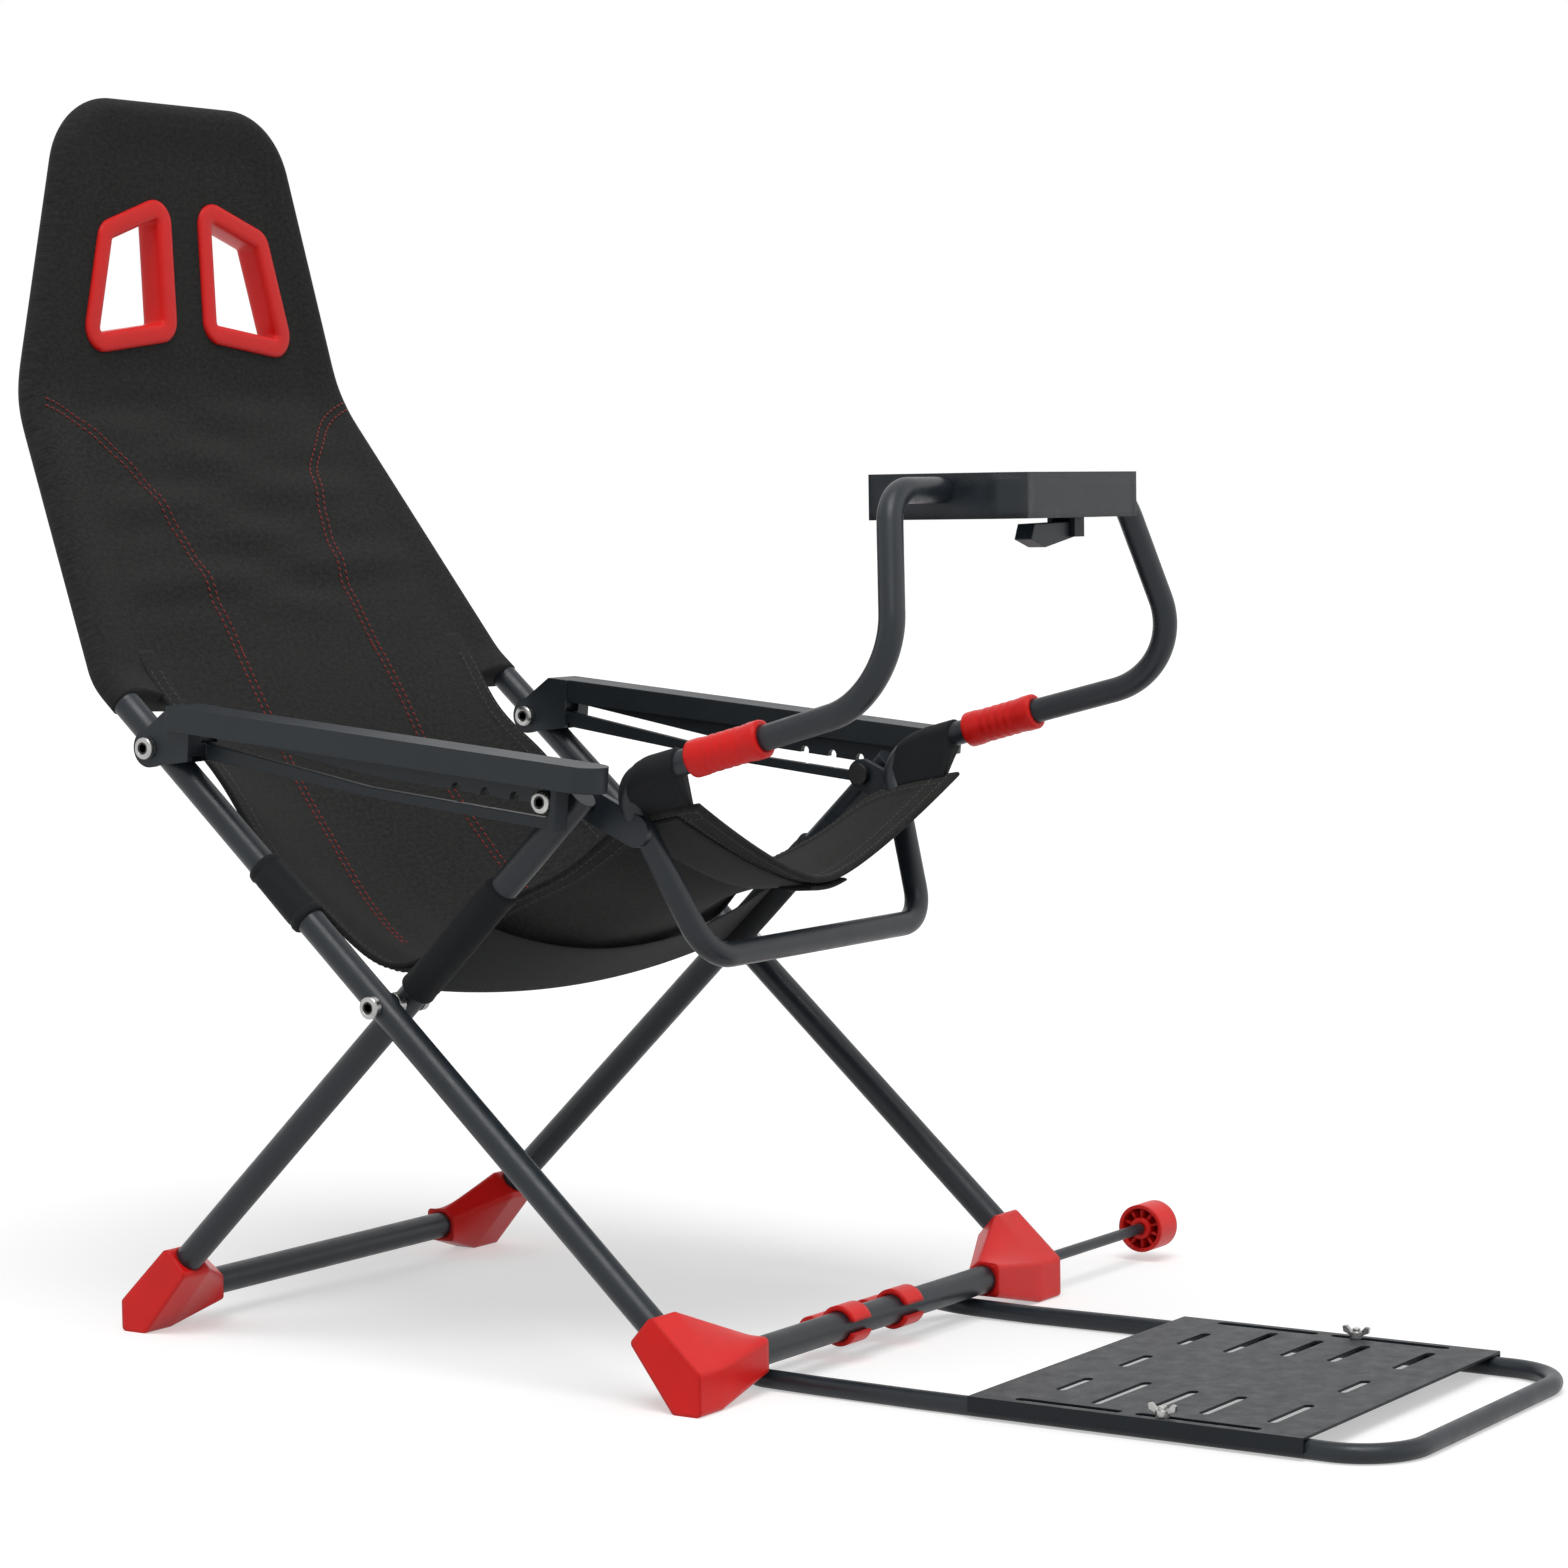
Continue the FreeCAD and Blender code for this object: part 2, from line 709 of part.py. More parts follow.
def armrest(side):
    top = size("armrest_top")
    under = top - size("armrest_cap_thick")
    rim_low = top - size("armrest_rim")
    rim = size("armrest_rim_wall")
    length = bolt_u + size("armrest_nose")
    inner = front_half - size("armrest_in")
    outer = front_half + size("armrest_out")
    wall = vec(side * size("armrest_web_thick"), 0, 0)
    ear_r = size("armrest_ear_radius")
    start = ear_r + rim
    block_end = start + size("armrest_block")
    web_end = bolt_u + size("bolt_head_dia")
    web_low = size("armrest_bolt_up") - size("bolt_head_dia") - size("armrest_bolt_up")
    web_middle = ((block_end + web_end) / 2, web_low + size("armrest_bolt_up"))
    slab = top_slab(side, inner, outer, start, length, rim_low, top)
    hollow = top_slab(side, inner + rim / 2, outer - rim, block_end, length - rim, rim_low, under)
    web = [(block_end, under), (web_end, under), (web_end, web_low), web_middle, (block_end, -5)]
    block = [(start, under), (block_end, under), (block_end, -2), (start, 9)]
    cheek = [(-4, ear_r - 1), (start, top), (block_end, top), (block_end, -6), (8, 2 - ear_r)]
    pieces = [
        prism(flat(side, web_x, web), wall),
        prism(flat(side, ear_in - ear_thick, block), vec(side * (ear_out - ear_in + 2 * ear_thick), 0, 0)),
        box((side * web_x, -web_end, web_low), (side * (front_half + rim), rim - web_end, under)),
    ]
    for x in (ear_in - ear_thick, ear_out):
        pieces.append(prism(flat(side, x, cheek), vec(side * ear_thick, 0, 0)))
        pieces.append(across(side * x, side * (x + ear_thick), vec(0, 0, 0), 2 * ear_r))
    hole = across(side * rear_in, side * (outer + ear_thick), vec(0, 0, 0), bolt_hole)
    rest = slab.cut(hollow).fuse(pieces).cut(slot_cuts(side, wall) + [hole])
    return tip(rest.removeSplitter())


def armrest_bolt(side):
    place = vec(0, -bolt_u, size("armrest_bolt_up"))
    return tip(bolt(side * (web_x + size("armrest_web_thick")), side * (web_x - 2), place))


pair("armrest", armrest)
pair("armrest_bolt", armrest_bolt)

# Deck frame: one bent tube with a hoop under the seat's front, carried by lugs on the rear legs' pins
arm_rise = math.radians(size("deck_arm_angle"))
arm_dir = vec(0, -math.cos(arm_rise), math.sin(arm_rise))
deck_hoop_x = (lug_in + lug_out) / 2
grip = deck_pivot + vec(deck_hoop_x + size("grip_out"), -size("grip_ahead"), size("grip_up"))
stub_end = grip + arm_dir * size("stub_over")
SPIGOT_BORE = "sizes.spigot_dia + 2 * sizes.soft_gap"


def deck_hoop():
    stub_start = stub_end - arm_dir * size("stub_bore")
    knee = deck_pivot + vec(deck_hoop_x, -size("knee_ahead"), size("knee_up"))
    corner = deck_pivot + vec(size("hoop_bar_half"), -size("hoop_bar_ahead"), -size("hoop_bar_drop"))
    left = [stub_end, stub_start, knee, corner]
    bends = [size("hoop_knee_radius"), size("hoop_knee_radius"), size("hoop_corner_radius")]
    hoop = tube(left + mirrored(left), bends + bends[::-1], "sizes.deck_tube_dia")
    lugs = []
    holes = []
    for side in (-1, 1):
        lug_dir = vec(side * size("deck_lug_thick"), 0, 0)
        lug_end = beside((knee + (corner - knee) * 0.25), side * lug_in)
        lug_start = beside(deck_pivot, side * lug_in)
        lugs.append(shaped(slot_cut(lug_start, lug_end, size("deck_lug_dia"), lug_dir)))
        holes.append(through(side * deck_hoop_x, deck_pivot, RUNNING_HOLE))
        holes.append(bar(beside(stub_start, side * grip.x), arm_dir, SPIGOT_BORE, "sizes.stub_bore"))
    return cut(fuse(hoop, *lugs), *holes)


def deck_grip(side):
    start = beside(grip - arm_dir * (size("grip_length") / 2), side * grip.x)
    sleeve = bar(start, arm_dir, "sizes.grip_dia", "sizes.grip_length")
    bore = bar(start, arm_dir, "sizes.deck_tube_dia", "sizes.grip_length")
    free_dia = "sizes.deck_tube_dia + 2 * sizes.soft_gap"
    free = bar(beside(stub_end, side * grip.x), arm_dir, free_dia, "sizes.grip_length")
    return cut(sleeve, bore, free)


node("deck_hoop", deck_hoop())
pair("deck_grip", deck_grip)

# Wheel deck: bent arms that slide in the deck frame, the folded plate, and the lever under it
arm_low = grip + arm_dir * size("deck_arm_run")
deck_top = arm_low.z + size("deck_rise")
deck_front = arm_low.y - size("deck_ahead")
deck_rear = deck_front + size("deck_depth")


def deck_arm(side):
    start = stub_end + arm_dir * (size("spigot_length") - size("stub_bore") + 4)
    end = vec(size("deck_half"), (deck_front + deck_rear) / 2, deck_top - size("deck_arm_drop"))
    upper = end + vec(size("deck_arm_top_out"), 0, 0)
    straight = start + arm_dir * size("deck_arm_straight")
    low = arm_low + vec(size("deck_arm_flare"), 0, 0)
    points = [vec(side * p.x, p.y, p.z) for p in (start, straight, low, upper, end)]
    low_radius = size("deck_arm_low_radius")
    arm = tube(points, [low_radius, low_radius, size("deck_arm_top_radius")], "sizes.deck_tube_dia")
    spigot_start = points[0] - arm_dir * size("spigot_length")
    return fuse(arm, bar(spigot_start, arm_dir, "sizes.spigot_dia", "sizes.spigot_length"))


def deck_corners(inset):
    """The deck's outline with its front corners cut off, drawn in by an inset, as expressions."""
    half = "(sizes.deck_half - %s)" % inset
    rear = "(%f - %s)" % (deck_rear, inset)
    front = "(%f - sizes.deck_depth + %s)" % (deck_rear, inset)
    back_of_cut = front + " + sizes.deck_chamfer"
    right = [("-" + half, rear), ("-" + half, back_of_cut), ("sizes.deck_chamfer - " + half, front)]
    left = [(half + " - sizes.deck_chamfer", front), (half, back_of_cut), (half, rear)]
    return right + left


def deck_plate():
    thick = "sizes.deck_plate_thick"
    corners = deck_corners("0"), deck_corners(thick)
    return folded_sheet("deck_body", deck_top, *corners, "sizes.deck_flange", thick)


lever_z = deck_top - size("deck_flange") - size("lever_drop")
lever_pin = vec(size("lever_side"), deck_front + size("lever_back"), lever_z)
lever_half = vec(0, size("lever_width") / 2, 0)


def lever_bracket():
    """Two ears with a pin along Y, hung from the underside of the deck plate."""
    eye_r = size("lever_eye_dia") / 2
    under = deck_top - size("deck_plate_thick")
    ear = 4
    pieces = []
    for sign in (-1, 1):
        near = lever_pin.y + sign * (lever_half.y + gap)
        low = (lever_pin.x - eye_r, near, lever_pin.z - eye_r)
        pieces.append(box(low, (lever_pin.x + eye_r, near + sign * ear, under)))
    pin_reach = lever_half + vec(0, ear, 0)
    pin = cylinder(lever_pin - pin_reach, lever_pin + pin_reach, size("lever_pin_dia"))
    return shaped(pin.fuse(pieces).removeSplitter())


def deck_lever():
    """Wedge that points to the right from its eye and thickens to a finger end."""
    eye_r = size("lever_eye_dia") / 2
    reach = size("lever_length")
    outline = [(0, eye_r - 3), (5 - reach, 3), (-reach, -8), (20 - reach, -14), (0, -eye_r)]
    points = [lever_pin + vec(x, 0, z) - lever_half for x, z in outline]
    blade = prism(points, lever_half * 2)
    eye = cylinder(lever_pin - lever_half, lever_pin + lever_half, size("lever_eye_dia"))
    hole_dia = size("lever_pin_dia") + 2 * size("running_gap")
    hole = cylinder(lever_pin - lever_half, lever_pin + lever_half, hole_dia)
    return shaped(blade.fuse(eye).cut(hole).removeSplitter())


pair("deck_arm", deck_arm)
node("deck_plate", deck_plate())
node("lever_bracket", lever_bracket())
node("deck_lever", deck_lever())

# Pedal frame: a closed tube loop on the floor, clipped to the front crossbar
pedal_r = size("pedal_tube_dia") / 2
hinge_x = front_half - size("cap_in") - size("pedal_clear") - pedal_r
pedal_x = hinge_x + size("pedal_flare")
plate_rear = front_bar.y - size("plate_start")
plate_low = size("pedal_tube_dia") + size("plate_gap")
plate_top = plate_low + size("plate_thick")
pedal_bar = front_bar + vec(0, size("pedal_bar_back"), -size("pedal_bar_drop"))
PEDAL_HALF = "(sizes.front_half - sizes.cap_in - sizes.pedal_clear + sizes.pedal_flare)"


def pedal_bolt_foot(side):
    """The blind hole in the top of a side tube that holds a wing bolt."""
    return vec(side * pedal_x, plate_rear - size("pedal_bolt_along"), pedal_r)


def pedal_loop():
    corner = size("pedal_corner_radius")
    bend = size("pedal_bend_radius")
    front = front_bar.y - size("pedal_reach")
    half = [
        pedal_bar,
        beside(pedal_bar, hinge_x - 2 * bend),
        vec(hinge_x, pedal_bar.y - pedal_r, pedal_r + 1),
        vec(hinge_x, front_bar.y - corner, pedal_r),
        vec(pedal_x, plate_rear + corner, pedal_r),
        vec(pedal_x, front, pedal_r),
        vec(0, front, pedal_r),
    ]
    radii = [bend, bend, 2 * corner, 2 * corner, corner]
    halves = [tube(half, radii, "sizes.pedal_tube_dia")]
    halves.append(tube([vec(-p.x, p.y, p.z) for p in half], radii, "sizes.pedal_tube_dia"))
    holes = []
    for side in (-1, 1):
        holes.append(bar(pedal_bolt_foot(side), vec(0, 0, 1), "sizes.pedal_bolt_dia", "sizes.pedal_tube_dia"))
    return cut(fuse(*halves), *holes)


def pedal_clip(side):
    """Open ring on the front crossbar, joined to a closed ring on the loop's rear bar."""
    low = side * size("clip_half_spacing") - size("clip_width") / 2
    high = low + size("clip_width")
    wall = 2 * size("clip_wall")
    bar_hole = size("leg_dia") + 2 * gap
    ring = across(low, high, front_bar, bar_hole + wall)
    ring = ring.fuse(across(low, high, pedal_bar, size("pedal_tube_dia") + wall))
    ring = ring.cut(across(low, high, front_bar, bar_hole))
    ring = ring.cut(across(low, high, pedal_bar, size("pedal_tube_dia")))
    slit = size("clip_slit") / 2
    mouth = box((low, front_bar.y - 2 * leg_r, front_bar.z - slit), (high, front_bar.y, front_bar.z + slit))
    return shaped(ring.cut(mouth).removeSplitter())


def wing_bolt(side):
    """Bolt that stands in the tube, with a round nut and two wings above the plate."""
    foot = pedal_bolt_foot(side)
    seat = vec(foot.x, foot.y, plate_top + size("plate_gap"))
    dia = size("pedal_bolt_dia")
    pieces = [cylinder(seat, seat + vec(0, 0, 0.8 * dia), 1.7 * dia)]
    for sign in (-1, 1):
        wing = [(0.5, 0.2), (1.7, 0.7), (1.8, 1.4), (1.3, 1.5), (0.5, 0.7)]
        points = [seat + vec(-dia / 4, sign * u * dia, w * dia) for u, w in wing]
        pieces.append(prism(points, vec(dia / 2, 0, 0)))
    return shaped(cylinder(foot, seat + vec(0, 0, 1.2 * dia), dia).fuse(pieces).removeSplitter())


node("pedal_loop", pedal_loop())
node("pedal_clips", both(pedal_clip))
node("wing_bolts", both(wing_bolt))


# Pedal plate: a folded sheet over the two tubes, with slots for the pedals and for the wing bolts
def plate_corners(inset):
    """Corners of the plate, drawn in at its two sides by an inset, as expressions."""
    half = "(%s + sizes.plate_side_gap + sizes.plate_thick - %s)" % (PEDAL_HALF, inset)
    rear = "%f" % plate_rear
    front = "%f - sizes.plate_length" % plate_rear
    return [("-" + half, rear), ("-" + half, front), (half, front), (half, rear)]


CENTRE_SLOTS = ((46, 44), (221, 44))
SIDE_SLOTS = ((89, 80), (131, 63), (169, 63), (221, 63))
REAR_SLOTS = (46, 90, 46)
LONG_SLOTS = ((38, 114), (133, 221))


def pedal_slots():
    """Round-ended slots: rows across the plate for pedals, and lines along it for the wing bolts."""
    width = size("pedal_slot_width")
    rows = [(0, along, length) for along, length in CENTRE_SLOTS]
    for side in (-1, 1):
        rows.append((side * REAR_SLOTS[1], REAR_SLOTS[0], REAR_SLOTS[2]))
        rows += [(side * size("pedal_slot_column"), along, length) for along, length in SIDE_SLOTS]
    lines = []
    for x, along, length in rows:
        reach = (length - width) / 2
        lines.append(((x - reach, along), (x + reach, along)))
    for side in (-1, 1):
        lines += [((side * pedal_x, start), (side * pedal_x, end)) for start, end in LONG_SLOTS]
    up = vec(0, 0, 3 * size("plate_thick"))
    slots = []
    for line in lines:
        start, end = [vec(x, plate_rear - along, plate_low - size("plate_thick")) for x, along in line]
        slots.append(shaped(slot_cut(start, end, width, up)))
    return slots


def pedal_plate():
    thick = "sizes.plate_thick"
    corners = plate_corners("0"), plate_corners(thick)
    return cut(folded_sheet("plate_body", plate_top, *corners, "sizes.plate_flange", thick), *pedal_slots())


node("pedal_plate", pedal_plate())

# Locking rod with its spoked knob, sliding in the front crossbar
knob_start = front_half + size("rod_out")
rod_start = beside(front_bar, front_half - size("rod_engaged"))
KNOB_DEPTH = "sizes.knob_width - sizes.knob_wall"


def lock_knob():
    """Cup with a hub and ten spokes, open towards the frame."""
    start = beside(front_bar, knob_start)
    rim = cut(
        bar(start, sideways, "sizes.knob_dia", "sizes.knob_width"),
        bar(start, sideways, "sizes.knob_dia - 2 * sizes.knob_wall", KNOB_DEPTH),
    )
    hub = bar(start, sideways, "sizes.rod_dia + 3 * sizes.knob_wall", KNOB_DEPTH)
    wall = size("knob_wall")
    spokes = []
    for i in range(10):
        corner = start + vec(wall, -wall / 3, 0)
        spoke_length = (size("knob_dia") - wall) / 2
        spoke = Part.makeBox(size("knob_width") - 2 * wall, 2 * wall / 3, spoke_length, corner)
        spoke.rotate(front_bar, sideways, 36 * i)
        spokes.append(shaped(spoke))
    return cut(fuse(rim, hub, *spokes), bar(start, sideways, "sizes.rod_dia", KNOB_DEPTH))


ROD_LENGTH = "sizes.rod_out + sizes.rod_engaged + " + KNOB_DEPTH
node("lock_rod", bar(rod_start, sideways, "sizes.rod_dia", ROD_LENGTH))
node("lock_knob", lock_knob())

doc.recompute()
for obj in doc.Objects:
    if "Invalid" in obj.State or "Error" in obj.State:
        raise RuntimeError("failed object: %s %s" % (obj.Name, obj.Label))
for obj in NODES:
    if obj.Shape.isNull() or not obj.Shape.isValid() or obj.Shape.Volume <= 0:
        raise RuntimeError("bad shape: " + obj.Label)
os.makedirs("parts", exist_ok=True)
for obj in NODES:
    obj.Shape.exportStep("parts/%s.step" % obj.Label)
print(len(NODES), "nodes")
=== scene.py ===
"""Looks of the folding racing seat: its fabric, rings, grips and bolt faces, and the finish of every part."""

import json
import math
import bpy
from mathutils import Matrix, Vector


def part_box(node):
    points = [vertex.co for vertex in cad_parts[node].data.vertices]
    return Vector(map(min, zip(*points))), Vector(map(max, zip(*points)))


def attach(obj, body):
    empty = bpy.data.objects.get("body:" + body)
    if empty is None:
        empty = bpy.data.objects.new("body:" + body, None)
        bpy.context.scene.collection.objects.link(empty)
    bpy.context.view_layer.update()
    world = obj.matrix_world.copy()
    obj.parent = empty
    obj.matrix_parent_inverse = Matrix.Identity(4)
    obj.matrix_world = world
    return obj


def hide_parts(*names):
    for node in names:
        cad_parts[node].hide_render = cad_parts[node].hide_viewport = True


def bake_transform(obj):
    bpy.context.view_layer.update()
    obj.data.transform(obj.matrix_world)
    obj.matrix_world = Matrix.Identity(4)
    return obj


bl_info = {
    "name": "Folding racing seat",
    "version": (1, 0, 0),
    "blender": (4, 5, 0),
    "location": "View3D > Sidebar > Seat",
    "description": "Fabric, trim and finishes of a folding racing seat on its packed frame",
    "category": "Object",
}

import bmesh
import bpy
import numpy as np
from mathutils import Matrix, Vector

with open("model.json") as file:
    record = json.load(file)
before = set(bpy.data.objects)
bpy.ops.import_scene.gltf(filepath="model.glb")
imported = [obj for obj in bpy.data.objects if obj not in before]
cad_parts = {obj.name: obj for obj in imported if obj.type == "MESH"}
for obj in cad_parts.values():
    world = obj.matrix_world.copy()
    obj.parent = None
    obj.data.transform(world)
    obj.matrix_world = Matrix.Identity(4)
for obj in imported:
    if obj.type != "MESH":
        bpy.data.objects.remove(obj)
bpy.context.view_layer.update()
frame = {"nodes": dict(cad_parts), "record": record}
NODES = frame["nodes"]


def unit(v):
    """Vectors brought to length 1."""
    return v / np.linalg.norm(v, axis=-1, keepdims=True)


# Places of the frame, in metres: X across, -Y forward, Z up
FRONT_HALF = 0.240
REAR_HALF = 0.210
LEG_R = 0.011
BAR_HEIGHT = 0.028
FRONT_BAR = np.array([0, -0.5345, BAR_HEIGHT])
FRONT_DIR = np.array([0, math.cos(math.radians(41.8)), math.sin(math.radians(41.8))])
CROSS = FRONT_BAR + FRONT_DIR * 0.371
REAR_DIR = unit(CROSS - [0, 0, BAR_HEIGHT])
DECK_PIVOT = CROSS + REAR_DIR * 0.2166
ARM_PIVOT = FRONT_BAR + FRONT_DIR * 0.654
HOOP_BEND = FRONT_BAR + FRONT_DIR * 0.730
SHOULDER = HOOP_BEND + [0, 0.1263, 0.2214]
BACK_TOP = SHOULDER + [0, 0.011, 0.246]
BACK_DIR = unit(SHOULDER - HOOP_BEND)
HEAD_DIR = unit(BACK_TOP - SHOULDER)
BACK_FOOT = HOOP_BEND - BACK_DIR * 0.026
COVER_FOOT = HOOP_BEND - FRONT_DIR * 0.026
ARM_DIR = np.array([0, -math.cos(math.radians(14.7)), math.sin(math.radians(14.7))])
GRIP = DECK_PIVOT + [0.192, -0.1265, 0.0448]
ACROSS = np.array([1.0, 0, 0])
SIDES = ((-1, "right"), (1, "left"))


class SeatClothSettings(bpy.types.PropertyGroup):
    """Colours and sizes of the fabric."""

    cloth_colour: bpy.props.FloatVectorProperty(
        name="Cloth", description="Colour of the back and the seat", subtype="COLOR", default=(0.0215, 0.0218, 0.0212)
    )
    band_colour: bpy.props.FloatVectorProperty(
        name="Webbing", description="Colour of the straps and cuffs", subtype="COLOR", default=(0.0144, 0.0156, 0.0172)
    )
    thread_colour: bpy.props.FloatVectorProperty(
        name="Thread", description="Colour of the two long seams", subtype="COLOR", default=(0.17, 0.016, 0.012)
    )
    weave_pitch: bpy.props.FloatProperty(
        name="Weave", description="Distance between two yarns", unit="LENGTH", default=0.0016, min=0.0005
    )
    sheet_thick: bpy.props.FloatProperty(
        name="Sheet", description="Thickness of the seat panel", unit="LENGTH", default=0.0026, min=0.001
    )
    hem_width: bpy.props.FloatProperty(
        name="Hem", description="Width of the turned edge of the seat panel", unit="LENGTH", default=0.018, min=0.005
    )
    stitch_pitch: bpy.props.FloatProperty(
        name="Stitch pitch", description="Distance between two stitches", unit="LENGTH", default=0.0058, min=0.003
    )
    seam_gap: bpy.props.FloatProperty(
        name="Seam gap", description="Distance between the two rows of a seam", unit="LENGTH", default=0.0075, min=0.003
    )


class SeatHardSettings(bpy.types.PropertyGroup):
    """Colours and sizes of the metal and plastic."""

    coat_colour: bpy.props.FloatVectorProperty(
        name="Tube coat", description="Powder coat of the tubes", subtype="COLOR", default=(0.0138, 0.0182, 0.0236)
    )
    arm_colour: bpy.props.FloatVectorProperty(
        name="Armrest", description="Moulded plastic of the armrests", subtype="COLOR", default=(0.0160, 0.0215, 0.0265)
    )
    red_colour: bpy.props.FloatVectorProperty(
        name="Red plastic", description="Caps, rings, grips, clips and knob", subtype="COLOR",
        default=(0.72, 0.0105, 0.0085),
    )
    zinc_colour: bpy.props.FloatVectorProperty(
        name="Zinc", description="Plated bolts", subtype="COLOR", default=(0.46, 0.46, 0.45)
    )
    grip_radius: bpy.props.FloatProperty(
        name="Grip", description="Radius of a red grip at its collars", unit="LENGTH", default=0.014, min=0.011
    )
    rib_depth: bpy.props.FloatProperty(
        name="Rib", description="Depth of the grooves of a grip", unit="LENGTH", default=0.0011, min=0.0
    )


class SeatStageSettings(bpy.types.PropertyGroup):
    """Camera and light."""

    camera_place: bpy.props.FloatVectorProperty(
        name="Camera", description="Place of the camera", subtype="TRANSLATION", default=(-2.604, -2.1895, 0.646)
    )
    yaw: bpy.props.FloatProperty(
        name="Yaw", description="Turn of the view from +Y to +X", subtype="ANGLE", default=math.radians(56.41)
    )
    pitch: bpy.props.FloatProperty(
        name="Pitch", description="Tilt of the view above the horizon", subtype="ANGLE", default=math.radians(-3.95)
    )
    roll: bpy.props.FloatProperty(
        name="Roll", description="Turn about the line of sight", subtype="ANGLE", default=math.radians(-0.84)
    )
    lens: bpy.props.FloatProperty(
        name="Lens", description="Focal length on a 36 mm sensor, in millimetres", default=94.34, min=10
    )
    sky: bpy.props.FloatProperty(name="Sky", description="Strength of the even light", default=0.46, min=0)
    key: bpy.props.FloatProperty(name="Key", description="Strength of the main light", default=1.72, min=0)
    fill: bpy.props.FloatProperty(name="Fill", description="Strength of the low front light", default=0.42, min=0)
    floor_glow: bpy.props.FloatProperty(
        name="Floor glow", description="White that the floor shows the camera beside its own light", default=0.46, min=0
    )


# Mesh tools


def spline(x, y, at):
    """Natural cubic spline through the rows of y at the places x, read at the places at."""
    x, y, at = (np.asarray(v, float) for v in (x, y, at))
    y = y.reshape(len(x), -1)
    step = np.diff(x)
    system = np.eye(len(x))
    i = np.arange(1, len(x) - 1)
    system[i, i - 1], system[i, i], system[i, i + 1] = step[:-1], 2 * (step[:-1] + step[1:]), step[1:]
    right = np.zeros_like(y)
    right[1:-1] = 6 * np.diff(np.diff(y, axis=0) / step[:, None], axis=0)
    bend = np.linalg.solve(system, right)
    k = np.clip(np.searchsorted(x, at) - 1, 0, len(x) - 2)
    a, b, w = (v[:, None] for v in (x[k + 1] - at, at - x[k], step[k]))
    cubic = (bend[k] * a**3 + bend[k + 1] * b**3) / (6 * w)
    return cubic + (y[k] / w - bend[k] * w / 6) * a + (y[k + 1] / w - bend[k + 1] * w / 6) * b


def smooth(low, high, value):
    """0 below low, 1 above high, and a smooth step between."""
    share = np.clip((value - low) / (high - low), 0, 1)
    return share * share * (3 - 2 * share)


def rolled(distance, radius):
    """Quarter round of height 1: steep at distance 0, level from the radius on."""
    return np.sqrt(np.clip(1 - (1 - np.clip(distance / radius, 0, 1)) ** 2, 0, 1))


def circle(count):
    """Angles of a full turn, and their points on a circle of radius 1."""
    turn = np.linspace(0, 2 * math.pi, count, endpoint=False)
    return turn, np.stack([np.cos(turn), np.sin(turn)], -1)


def along_x(x):
    """Vectors that point across the seat, as long as x says."""
    return np.stack([x, 0 * x, 0 * x], -1)


def run(path):
    """Distance along a line of points."""
    return np.concatenate([[0], np.cumsum(np.linalg.norm(np.diff(path, axis=0), axis=1))])


def read_line(at, s, line):
    """Points of a line at the distances at, where s is the distance of each of its own points."""
    return np.stack([np.interp(at, s, line[:, k]) for k in range(3)], -1)


def rounded(points, radii, step):
    """Straight runs joined by tangent arcs: each arc turns from one run's direction to the next about its centre."""
    points = np.asarray(points, float)
    out = [points[:1]]
    for before, corner, after, radius in zip(points, points[1:], points[2:], radii):
        back, ahead = unit(before - corner), unit(after - corner)
        half = math.acos(np.clip(back @ ahead, -1, 1)) / 2
        middle = unit(back + ahead)
        centre = corner + middle * (radius / math.sin(half))
        turn = np.linspace(-1, 1, step + 1)[:, None] * (math.pi / 2 - half)
        side = unit(ahead - back)
        out.append(centre + radius * (np.sin(turn) * side - np.cos(turn) * middle))
    return np.concatenate(out + [points[-1:]])


def quads(rows, columns, wrap_rows=False, wrap_columns=False):
    """Corner numbers of the cells of a grid, row by row."""
    i, j = np.meshgrid(
        np.arange(rows - (not wrap_rows)), np.arange(columns - (not wrap_columns)), indexing="ij"
    )
    k, n = (i + 1) % rows, (j + 1) % columns
    corners = [i * columns + j, k * columns + j, k * columns + n, i * columns + n]
    return np.stack(corners, -1).reshape(-1, 4)


def shell(upper, lower, keep=None):
    """Closed sheet: two grids of one size, with a wall round the border of the cells that are kept."""
    rows, columns = upper.shape[:2]
    cells = quads(rows, columns)
    if keep is not None:
        cells = cells[keep.ravel()]
    count = rows * columns
    edges = np.concatenate([cells[:, [a, (a + 1) % 4]] for a in range(4)])
    code = edges.min(1) * count + edges.max(1)
    _, first, uses = np.unique(code, return_index=True, return_counts=True)
    a, b = edges[first[uses == 1]].T
    walls = np.stack([b, a, a + count, b + count], -1)
    points = np.concatenate([upper.reshape(-1, 3), lower.reshape(-1, 3)])
    return points, np.concatenate([cells, cells[:, ::-1] + count, walls])


def sweep(centre, across, up, profile, closed=False):
    """Profile carried along a path: point = centre + across * p + up * q; open ends are closed to their middle."""
    across, up = (np.broadcast_to(way, centre.shape) for way in (across, up))
    profile = np.broadcast_to(profile, (len(centre), *profile.shape[-2:]))
    points = centre[:, None] + across[:, None] * profile[..., :1] + up[:, None] * profile[..., 1:]
    if not closed:
        ends = [np.broadcast_to(ring.mean(0), ring.shape) for ring in (points[0], points[-1])]
        points = np.concatenate([ends[:1], points, ends[1:]])
    return points, quads(len(points), points.shape[1], wrap_rows=closed, wrap_columns=True)


